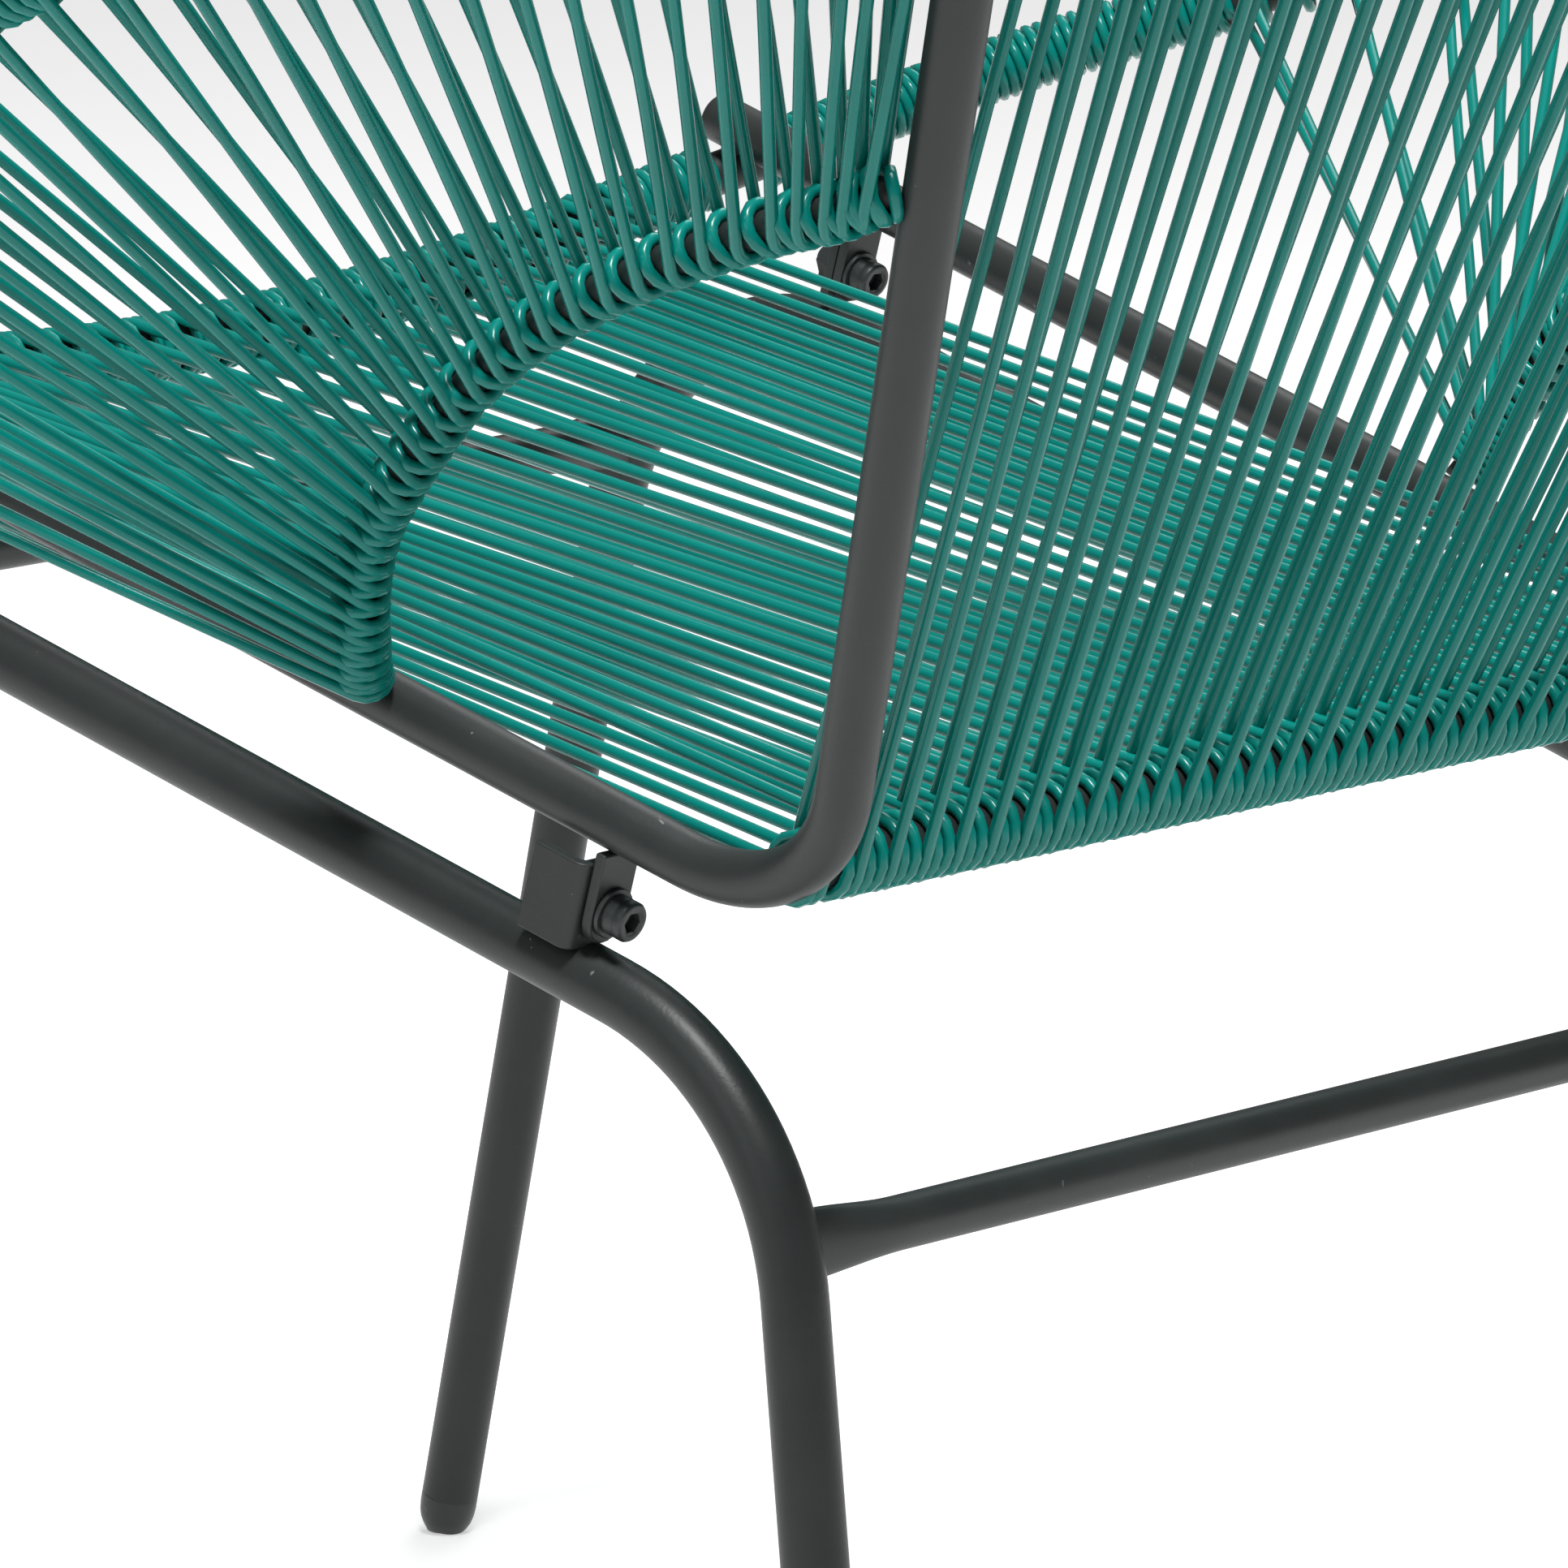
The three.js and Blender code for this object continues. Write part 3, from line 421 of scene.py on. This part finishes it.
FRAME_RGB, FRAME_SCUFF = (0.029, 0.0335, 0.0325), (0.30, 0.31, 0.31)
FASTENER_RGB, FASTENER_SCUFF = (0.035, 0.040, 0.040), (0.2, 0.2, 0.2)
CAP_RGB, CAP_SCUFF = (0.030, 0.034, 0.033), (0.08, 0.08, 0.08)
CORD_RGB = (0.0012, 0.225, 0.191)
coat = material("charcoal_powder_coat", FRAME_RGB, 0.42, powder_coat(FRAME_RGB, FRAME_SCUFF),
                Specular_IOR_Level=0.36)
steel = material("dark_fastener_finish", FASTENER_RGB, 0.34, powder_coat(FASTENER_RGB, FASTENER_SCUFF),
                 Metallic=0.25)
plastic = material("black_cap_plastic", CAP_RGB, 0.5, powder_coat(CAP_RGB, CAP_SCUFF))
teal = material("teal_cord_plastic", CORD_RGB, 0.24, cord_skin(CORD_RGB), Specular_IOR_Level=0.3)

SIDES = {"left": 1, "right": -1}


def rod(path, radius):
    """Centres and radii of a bent rod whose two cut ends are slightly rounded."""
    p = [np.asarray(q, float) for q in path]
    d0, d1 = unit(p[1] - p[0]), unit(p[-2] - p[-1])
    first = [p[0] + d0 * ROD_END * t for t, _ in ROD_END_PROFILE]
    last = [p[-1] + d1 * ROD_END * t for t, _ in reversed(ROD_END_PROFILE)]
    cut = [radius - ROD_END * lost for _, lost in ROD_END_PROFILE]
    return first + p[1:-1] + last, cut + [radius] * (len(p) - 2) + cut[::-1]


# Hoop, side rods, cross tube and arc braces.
s = Soup()
s.sweep([hoop.point(k / HOOP_STEPS) for k in range(HOOP_STEPS)], HOOP_R, HOOP_SIDES, closed=True)
s.make("hoop_rod", coat, ["outer_hoop"])

for name, side in SIDES.items():
    s = Soup()
    s.sweep(*rod([mirror(p, side) for p in rod_line], ROD_R), sides=ROD_SIDES)
    s.make(f"side_rod_smooth_{name}", coat, [f"side_rod_{name}"])
    s = Soup()
    s.sweep([mirror(arm.point(k / ARM_STEPS), side) for k in range(ARM_STEPS + 1)], ARC_R, ARM_SIDES)
    s.make(f"arc_brace_smooth_{name}", coat, [f"arc_brace_{name}"])

s = Soup()
cross_half = cross_centre[0] - ROD_R * CROSS_END_SHARE
s.sweep([vec(-cross_half, *cross_centre[1:]), vec(cross_half, *cross_centre[1:])], CROSS_R, CROSS_SIDES)
s.make("cross_tube_smooth", coat, ["seat_cross_tube_rear"])


def foot_cap(end, leg):
    """A cap that follows the leg from the tube's end and closes on a face level with the floor."""
    down = unit(leg)
    u = unit(vec(1, 0, 0) - down * down[0])
    w = np.cross(down, u)
    foot = end + leg * CAP_RISE
    ang = np.arange(CAP_SIDES) * TAU / CAP_SIDES
    cos, sin = np.cos(ang)[:, None], np.sin(ang)[:, None]
    rings = [end + (foot - end) * t + LEG_R * r * (cos * u + sin * w) for t, r in CAP_PROFILE]
    rings += [vec(foot[0], foot[1], z) + r * (cos * vec(1, 0, 0) + sin * vec(0, -1, 0)) for r, z in CAP_FACE]
    cap = Soup()
    cap.rings(rings)
    return cap


# Leg frames, foot caps and stretchers.
for name, side in SIDES.items():
    s = Soup()
    s.sweep([mirror(p, side) for p in leg_line], LEG_R, LEG_SIDES)
    s.make(f"leg_frame_smooth_{name}", coat, [f"leg_frame_{name}"])
    for where, end, leg in (("rear", rear_end, rear_leg), ("front", front_end, front_leg)):
        s = foot_cap(mirror(end, side), mirror(leg, side))
        s.make(f"foot_cap_round_{where}_{name}", plastic, [f"foot_cap_{where}_{name}"], "black_cap")


def leg_axis_at(points, height):
    """Where a line of points passes a height."""
    for a, b in zip(points, points[1:]):
        if (a[2] - height) * (b[2] - height) <= 0:
            return a + (b - a) * (height - a[2]) / (b[2] - a[2])


for where, line, height in (("rear", [rear_end] + rear_bend, REAR_STRETCHER_Z),
                            ("front", front_bend + [front_end], FRONT_STRETCHER_Z)):
    at = leg_axis_at(line, height)
    reach = at[0] - LEG_R / 2
    # Along the bar: place across the chair, and how far the end is flattened there, from 1 down to 0.
    stations = [(reach - FLARE_LENGTH * q, (1 - q) ** 2 * (1 + 2 * q))
                for q in np.linspace(0, 1, FLARE_STEPS)]
    stations += [(-x, f) for x, f in reversed(stations)]
    ang = np.arange(STRETCHER_SIDES) * TAU / STRETCHER_SIDES
    rings = []
    for x, f in stations:
        tall = STRETCHER_R * (1 + (STRETCHER_FLARE - 1) * f)
        thin = STRETCHER_R * (1 - (1 - STRETCHER_PINCH) * f)
        rings.append(np.c_[np.full(STRETCHER_SIDES, x), at[1] - thin * np.cos(ang),
                           at[2] + tall * np.sin(ang)])
    s = Soup()
    s.rings(rings)
    s.make(f"stretcher_smooth_{where}", coat, [f"stretcher_{where}"])


def local_axes(side):
    """At each bracket: outward, forward along the rail, and up from the leg rail."""
    along = mirror(rail_dir, side)
    up = unit(rail_normal - along * np.dot(rail_normal, along))
    return -side * np.cross(along, up), along, up


def prism(outline, lo, hi, place):
    """outline is a list of (a, b) pairs; place turns (a, b, depth) into space."""
    n = len(outline)
    verts = [place(a, b, lo) for a, b in outline] + [place(a, b, hi) for a, b in outline]
    faces = [tuple(range(n - 1, -1, -1)), tuple(range(n, 2 * n))]
    faces += [(i, (i + 1) % n, n + (i + 1) % n, n + i) for i in range(n)]
    block = Soup()
    block.put(verts, faces)
    return block


def circle_outline(radius):
    """A circle round the bolt's axis."""
    turns = [k * TAU / BOLT_SIDES for k in range(BOLT_SIDES)]
    return [(radius * math.cos(q), -BOLT_DROP + radius * math.sin(q)) for q in turns]


def hexagon_outline(radius):
    """A hexagon round the bolt's axis, with as many points as the circle."""
    sixth = math.pi / 3
    points = []
    for k in range(BOLT_SIDES):
        q = k * TAU / BOLT_SIDES
        reach = radius * math.cos(sixth / 2) / math.cos(q % sixth - sixth / 2)
        points.append((reach * math.cos(q), -BOLT_DROP + reach * math.sin(q)))
    return points


def tab_outline():
    """A flat tab under the seat rail with a round lower end."""
    half = TAB_W / 2
    bottom = -(ROD_R + WELD_GAP) - TAB_L + half
    tab = [(half, -ROD_R * TAB_TOP_SHARE), (-half, -ROD_R * TAB_TOP_SHARE), (-half, bottom)]
    return tab + [(half * math.cos(q), bottom + half * math.sin(q))
                  for q in np.linspace(math.pi, TAU, TAB_ARC_STEPS)[1:]]


def bracket_outline(gap):
    """The bent L of the leg bracket seen from above: plate, rounded corner and outer flange."""
    half = TAB_W / 2
    inner = NUT_R + NUT_CLEAR
    outer = inner + PLATE
    shape = [(-half, gap), (outer - BRACKET_LEAD, gap)]
    bend = outer - BRACKET_BEND, gap + BRACKET_BEND
    shape += [(bend[0] + BRACKET_BEND * math.sin(q), bend[1] - BRACKET_BEND * math.cos(q))
              for q in np.linspace(BRACKET_BEND_START, math.pi / 2, BRACKET_ARC_STEPS)]
    return shape + [(outer, FLANGE), (inner, FLANGE), (inner, gap + PLATE + BRACKET_INSIDE),
                    (inner - BRACKET_INSIDE, gap + PLATE), (-half, gap + PLATE)]


def rail_joint(name, side, where, distance):
    """Tab, leg bracket, washer, bolt and nut at one place along the rail."""
    outward, along, up = local_axes(side)
    origin = mirror(rail_point(distance), side)
    tag = f"{where}_{name}"

    def across(a, b, depth):
        return origin + outward * a + up * b + along * depth

    def plan(a, b, depth):
        return origin + outward * a + along * b + up * depth

    def ring(outline, depth):
        return np.array([across(a, b, depth) for a, b in outline])

    gap = WELD_GAP / 2
    s = prism(tab_outline(), -gap - PLATE, -gap, across)
    s.make(f"tab_{tag}", coat, [f"seat_tab_{tag}"], bevel=TAB_EDGE, flip=side < 0)

    foot = -(RAIL_DROP - LEG_R)
    s = prism(bracket_outline(gap), foot - BRACKET_SINK, foot + LEG_PLATE_H, plan)
    s.make(f"bracket_{tag}", coat, [f"leg_bracket_{tag}"], bevel=BRACKET_EDGE, flip=side > 0)

    washer_front = -(gap + PLATE + WELD_GAP)
    washer_back = washer_front - WASHER_T
    s = prism(circle_outline(WASHER_R), washer_back, washer_front, across)
    s.make(f"washer_round_{tag}", steel, [f"washer_{tag}"], "dark_fastener", bevel=WASHER_EDGE, flip=side < 0)

    nut_at = gap + PLATE + WELD_GAP
    tail = nut_at + NUT_H + TAIL
    head = washer_back - WELD_GAP / 2
    shank = circle_outline(BOLT_R)
    stack = [ring(shank, tail), ring(shank, tail - SHANK_TIP), ring(shank, head)]
    stack += [ring(circle_outline(HEAD_R * r), head - HEAD_H * t) for r, t in HEAD_PROFILE]
    stack += [ring(circle_outline(SOCKET_R * r), head - HEAD_H * t) for r, t in SOCKET_LEAD]
    stack += [ring(hexagon_outline(SOCKET_R * r), head - HEAD_H * t) for r, t in SOCKET_RIM]
    stack.append(ring(hexagon_outline(SOCKET_R), head - HEAD_H + SOCKET_D))
    s = Soup()
    s.rings(stack)
    s.make(f"socket_bolt_{tag}", steel, [f"bolt_{tag}"], "dark_fastener", flip=side > 0, sharp=50)

    face, middle = hexagon_outline(NUT_R * NUT_FACE_SHARE), hexagon_outline(NUT_R)
    s = Soup()
    s.rings([ring(face, nut_at), ring(middle, nut_at + NUT_CHAMFER),
             ring(middle, nut_at + NUT_H - NUT_CHAMFER), ring(face, nut_at + NUT_H)])
    s.make(f"hex_nut_{tag}", steel, [f"nut_{tag}"], "dark_fastener", flip=side < 0, sharp=20)


for name, side in SIDES.items():
    for where, distance in BRACKET_SETS.items():
        rail_joint(name, side, where, distance)


class Panel:
    """A winding between two tubes. near(i) and far(i) give cord i's place on them as (centre, tangent);
    i may lie between two cords."""

    def __init__(self, near, far, near_tube, far_tube, outward):
        self.near, self.far, self.outward = near, far, outward
        self.near_r, self.far_r = near_tube + CORD_R + CORD_AIR, far_tube + CORD_R + CORD_AIR

    def turn(self, place, other, radius, angle, slide):
        """A point on the tube at place: angle 0 is the outer side, a half turn on is the inner one."""
        c, t = place
        d = unit(other[0] - c)
        n = unit(np.cross(t, d))
        if np.dot(n, self.outward) < 0:
            n = -n
        b = unit(np.cross(n, t))
        if np.dot(b, d) > 0:
            b = -b
        return c + radius * (n * math.cos(angle) + b * math.sin(angle)) + t * slide

    def at_near(self, i, angle, slide=0.0):
        return self.turn(self.near(i), self.far(i), self.near_r, angle, slide)

    def at_far(self, i, angle, slide=0.0):
        return self.turn(self.far(i), self.near(i), self.far_r, angle, slide)


def lean(a, b, place, radius):
    """Slide along the tube per radian with which a pass from a to b meets the tube at place."""
    k = np.dot(unit(b - a), place[1])
    return radius * k / math.sqrt(max(1e-6, 1 - k * k))


def ease(q):
    """Fades a pass's slant out over the first half turn round a tube."""
    return math.sin(q) * (1 + math.cos(q)) / 2 if 0 <= q <= math.pi else 0.0


rng = random.Random(CORD_SEED)


def stray(a, b, amount):
    """Inner points of a long straight pass, a little off the line from a to b."""
    d = unit(b - a)
    side = unit(np.cross(d, STRAY_AXIS))
    up = np.cross(d, side)
    p1, p2, k1, k2 = (rng.uniform(-1, 1) for _ in range(4))
    points = []
    for k in range(1, PASS_PARTS):
        t = k / PASS_PARTS
        bow, swing = math.sin(math.pi * t), math.cos(math.pi * t)
        points.append(a + (b - a) * t + amount * bow * (side * (p1 + k1 * swing) + up * (p2 + k2 * swing)))
    return points


def wind(soup, panel, count, strands, amount, near_turns, near_step):
    """One unbroken cord: outer pass to the near tube, near_turns and a half round it, inner pass back, and
    turns along the far tube to the next outer pass. strands(i) is how many lie side by side there."""
    path = []
    near_total = math.pi * (1 + 2 * near_turns)
    near_advance = near_step * (near_turns + 0.5)
    for i in range(count):
        far_strands = strands(i)
        far_back = 0.5 / far_strands
        a, b = panel.at_far(i, 0), panel.at_near(i, 0)
        lead = lean(a, b, panel.near(i), panel.near_r)
        path.append(a)
        path += stray(a, b, amount)
        inner = i + near_advance
        c, d = panel.at_near(inner, math.pi), panel.at_far(i + far_back, math.pi)
        trail = lean(c, d, panel.near(inner), panel.near_r)
        steps = int(TURN_STEPS * (near_turns + 0.5)) + 1
        for k in range(steps + 1):
            q = k / steps * near_total
            slide = lead * ease(q) - trail * ease(near_total - q)
            path.append(panel.at_near(i + near_advance * q / near_total, q, slide))
        path += stray(c, d, amount)
        if i == count - 1:
            path.append(d)
            break
        turns = far_strands - 0.5
        steps = int(TURN_STEPS * turns)
        lead = lean(c, d, panel.far(i + far_back), panel.far_r)
        e, f = panel.at_far(i + 1, 0), panel.at_near(i + 1, 0)
        trail = lean(e, f, panel.far(i + 1), panel.far_r)
        total = TAU * turns
        for k in range(steps + 1):
            q = k / steps * total
            slide = lead * ease(q) - trail * ease(total - q)
            angle = math.pi + TAU * (far_strands - 1) - q
            path.append(panel.at_far(i + far_back + (1 - far_back) * k / steps, angle, slide))
    soup.sweep(path, CORD_R)


def coil(soup, place, start, end, tube_r, length, pitch=COIL_PITCH):
    """Plain turns round a tube between two shares of its length."""
    turns = max(abs(end - start) * length / pitch, LEAST_TURNS)
    steps = max(int(turns * TURN_STEPS), LEAST_STEPS)
    path = []
    for k in range(steps + 1):
        c, t = place(start + (end - start) * k / steps)
        n = unit(COIL_AXIS - t * np.dot(COIL_AXIS, t))
        b = np.cross(t, n)
        q = k / steps * turns * TAU
        path.append(c + (tube_r + CORD_R) * (n * math.cos(q) + b * math.sin(q)))
    soup.sweep(path, CORD_R)


def hoop_place(share):
    return hoop.point(share), hoop.tangent(share)


def cross_place(x):
    return vec(x, cross_centre[1], cross_centre[2]), vec(1, 0, 0)


# The back: from the cross tube to the hoop's top, with plain turns on the cross tube and down to the posts.
back_mid = (BACK_CORDS - 1) / 2
back = Panel(lambda i: cross_place((i - back_mid) * CROSS_PITCH),
             lambda i: hoop_place(0.5 - (i - back_mid) / back_mid * BACK_SHARE),
             CROSS_R, HOOP_R, vec(0, 1, -1))
s = Soup()
wind(s, back, BACK_CORDS, lambda i: BACK_STRANDS, PANEL_STRAY, near_turns=1, near_step=1 / 3)
for sign in (-1, 1):
    edge = (back_mid + BACK_EDGE[sign]) * CROSS_PITCH
    coil(s, cross_place, sign * edge, sign * (cross_centre[0] - CROSS_END), CROSS_R, 1.0, CROSS_COIL_PITCH)
    start, end = POST_SHARE + POST_FREE, 0.5 - BACK_SHARE - BACK_FREE
    if sign < 0:
        start, end = 1 - start, 1 - end
    coil(s, hoop_place, start, end, HOOP_R, hoop.length)
s.make("back_cord_winding", teal, ["back_cord_panel"], "teal_cord", sharp=0)

# The seat: from the cross tube to the hoop's front, with plain turns on to the rails.
seat_cords = BACK_CORDS - 1
seat_mid = (seat_cords - 1) / 2


def seat_front(i):
    """Cord i on the hoop's front: a wide fan in the middle, closer at the sides."""
    out = (i - seat_mid) / seat_mid
    run = abs(out) * SEAT_FAN_RUN_SHARE / SEAT_FAN_SHARE
    if abs(out) > SEAT_FAN_SHARE:
        past = (abs(out) - SEAT_FAN_SHARE) / (1 - SEAT_FAN_SHARE)
        run = SEAT_FAN_RUN_SHARE + past * (1 - SEAT_FAN_RUN_SHARE)
    return hoop_place(math.copysign(run, out) * SEAT_SHARE)


def seat_strands(i):
    """Turns between cords i and i + 1 on the hoop's front."""
    return SEAT_WIDE_STRANDS if abs(i + 0.5 - seat_mid) < seat_mid * SEAT_FAN_SHARE else SEAT_CLOSE_STRANDS


seat = Panel(lambda i: cross_place((i - seat_mid) * CROSS_PITCH + SEAT_ASIDE), seat_front,
             CROSS_R, HOOP_R, vec(0, 0, 1))
s = Soup()
wind(s, seat, seat_cords, seat_strands, PANEL_STRAY, near_turns=0, near_step=0.0)
for sign in (1, -1):
    coil(s, hoop_place, sign * (SEAT_SHARE + SEAT_FREE), sign * (RAIL_SHARE - RAIL_FREE), HOOP_R, hoop.length)
s.make("seat_cord_winding", teal, ["seat_cord_panel"], "teal_cord", sharp=0)


def wing_place(i, column):
    """Straight between the rows of the wing's table, carried on past its ends."""
    n = max(k for k in range(len(WING_ROWS) - 1) if WING_ROWS[k][0] <= max(i, 0))
    before, after = WING_ROWS[n], WING_ROWS[n + 1]
    return before[column] + (i - before[0]) / (after[0] - before[0]) * (after[column] - before[column])


# The wings: from the arc brace to the hoop's side, with plain turns down to the rail and up to the post.
for name, side in SIDES.items():
    def arm_place(share, side=side):
        return mirror(arm.point(share), side), mirror(arm.tangent(share), side)

    def side_hoop(share, side=side):
        return mirror(hoop.point(share), side), mirror(hoop.tangent(share), side)

    wing = Panel(lambda i: arm_place(wing_place(i, 1) / arm.length), lambda i: side_hoop(wing_place(i, 2)),
                 ARC_R, HOOP_R, vec(side, 0, -0.5))
    s = Soup()
    wind(s, wing, WING_CORDS, lambda i: WING_STRANDS, WING_STRAY, near_turns=1, near_step=0.5)
    coil(s, side_hoop, RAIL_SHARE + RAIL_FREE, WING_ROWS[0][2] - WING_FREE, HOOP_R, hoop.length)
    top_share = (WING_ROWS[-1][1] + WING_END) / arm.length
    coil(s, arm_place, top_share, 1 - POST_CLEAR / arm.length, ARC_R, arm.length)
    s.make(f"wing_cord_winding_{name}", teal, [f"wing_cord_panel_{name}"], "teal_cord", sharp=0)

# The studio: a white floor and background, and three soft lamps. Places in metres, powers in watts.
FLOOR_HALF, FLOOR_TONE, FLOOR_GLOW = 14.0, 0.86, 0.5
WORLD_LIGHT, BACKGROUND = 0.17, 1.0
LAMP_AIM = (0, 0, 0.4)
LAMPS = [("key_softbox", (0.7, 0.9, 3.6), 0.65, 135), ("fill_softbox", (3.0, 0.2, 1.8), 0.9, 7),
         ("rim_softbox", (-2.0, -1.0, 2.6), 1.4, 20)]
CLIP_END = 100


def math_node(nt, operation, first, second):
    node = nt.nodes.new("ShaderNodeMath")
    node.operation = operation
    nt.links.new(first, node.inputs[0])
    if isinstance(second, float):
        node.inputs[1].default_value = second
    else:
        nt.links.new(second, node.inputs[1])
    return node.outputs[0]


def floor_material():
    """Matt white that glows only for what looks at it, so the floor stays white and lights nothing."""
    m = bpy.data.materials.new("pale_floor")
    m.use_nodes = True
    nt = m.node_tree
    nt.nodes.clear()
    out = nt.nodes.new("ShaderNodeOutputMaterial")
    diffuse = nt.nodes.new("ShaderNodeBsdfDiffuse")
    diffuse.inputs["Color"].default_value = (FLOOR_TONE, FLOOR_TONE, FLOOR_TONE, 1)
    glow = nt.nodes.new("ShaderNodeEmission")
    path = nt.nodes.new("ShaderNodeLightPath")
    seen = math_node(nt, "MAXIMUM", path.outputs["Is Camera Ray"], path.outputs["Is Glossy Ray"])
    seen = math_node(nt, "MAXIMUM", seen, path.outputs["Is Transmission Ray"])
    nt.links.new(math_node(nt, "MULTIPLY", seen, FLOOR_GLOW), glow.inputs["Strength"])
    total = nt.nodes.new("ShaderNodeAddShader")
    nt.links.new(diffuse.outputs[0], total.inputs[0])
    nt.links.new(glow.outputs[0], total.inputs[1])
    nt.links.new(total.outputs[0], out.inputs["Surface"])
    return m


def add_floor():
    """A large floor that the chair stands on."""
    mesh = bpy.data.meshes.new("floor")
    corners = [(x * FLOOR_HALF, y * FLOOR_HALF, 0) for x, y in ((-1, -1), (1, -1), (1, 1), (-1, 1))]
    mesh.from_pydata(corners, [], [(0, 1, 2, 3)])
    floor = bpy.data.objects.new("floor", mesh)
    bpy.context.scene.collection.objects.link(floor)
    mesh.materials.append(floor_material())


def add_world():
    """A white background that gives the chair only a little of its light."""
    world = bpy.data.worlds.new("studio")
    bpy.context.scene.world = world
    world.use_nodes = True
    nt = world.node_tree
    nt.nodes.clear()
    out = nt.nodes.new("ShaderNodeOutputWorld")
    path = nt.nodes.new("ShaderNodeLightPath")
    mix = nt.nodes.new("ShaderNodeMixShader")
    nt.links.new(path.outputs["Is Camera Ray"], mix.inputs[0])
    for socket, strength in ((1, WORLD_LIGHT), (2, BACKGROUND)):
        light = nt.nodes.new("ShaderNodeBackground")
        light.inputs["Color"].default_value = (1, 1, 1, 1)
        light.inputs["Strength"].default_value = strength
        nt.links.new(light.outputs[0], mix.inputs[socket])
    nt.links.new(mix.outputs[0], out.inputs["Surface"])


def add_lamp(name, place, size, power):
    light = bpy.data.lights.new(name, "AREA")
    light.shape, light.size, light.size_y, light.energy = "RECTANGLE", size, size, power
    lamp = bpy.data.objects.new(name, light)
    lamp.location = place
    lamp.rotation_euler = (Vector(LAMP_AIM) - Vector(place)).to_track_quat("-Z", "Y").to_euler()
    bpy.context.scene.collection.objects.link(lamp)


def add_camera():
    scene = bpy.context.scene
    lens = bpy.data.cameras.new("photo_camera")
    cam = bpy.data.objects.new("photo_camera", lens)
    scene.collection.objects.link(cam)
    lens.lens, lens.sensor_width, lens.sensor_fit = CAMERA_LENS, CAMERA_SENSOR, "AUTO"
    lens.clip_end = CLIP_END
    a, e = math.radians(CAMERA_AZIMUTH), math.radians(CAMERA_ELEVATION)
    away = Vector((math.sin(a) * math.cos(e), -math.cos(a) * math.cos(e), math.sin(e)))
    right = Vector((math.cos(a), math.sin(a), 0))
    turn = Matrix((right, away.cross(right), away)).transposed()
    roll = Matrix.Rotation(math.radians(CAMERA_ROLL), 3, "Z")
    cam.matrix_world = Matrix.Translation((CAMERA_PLACE + SHIFT) * MM) @ (turn @ roll).to_4x4()
    scene.camera = cam


add_floor()
add_world()
for lamp in LAMPS:
    add_lamp(*lamp)
add_camera()
bpy.context.scene.view_settings.view_transform = "Standard"
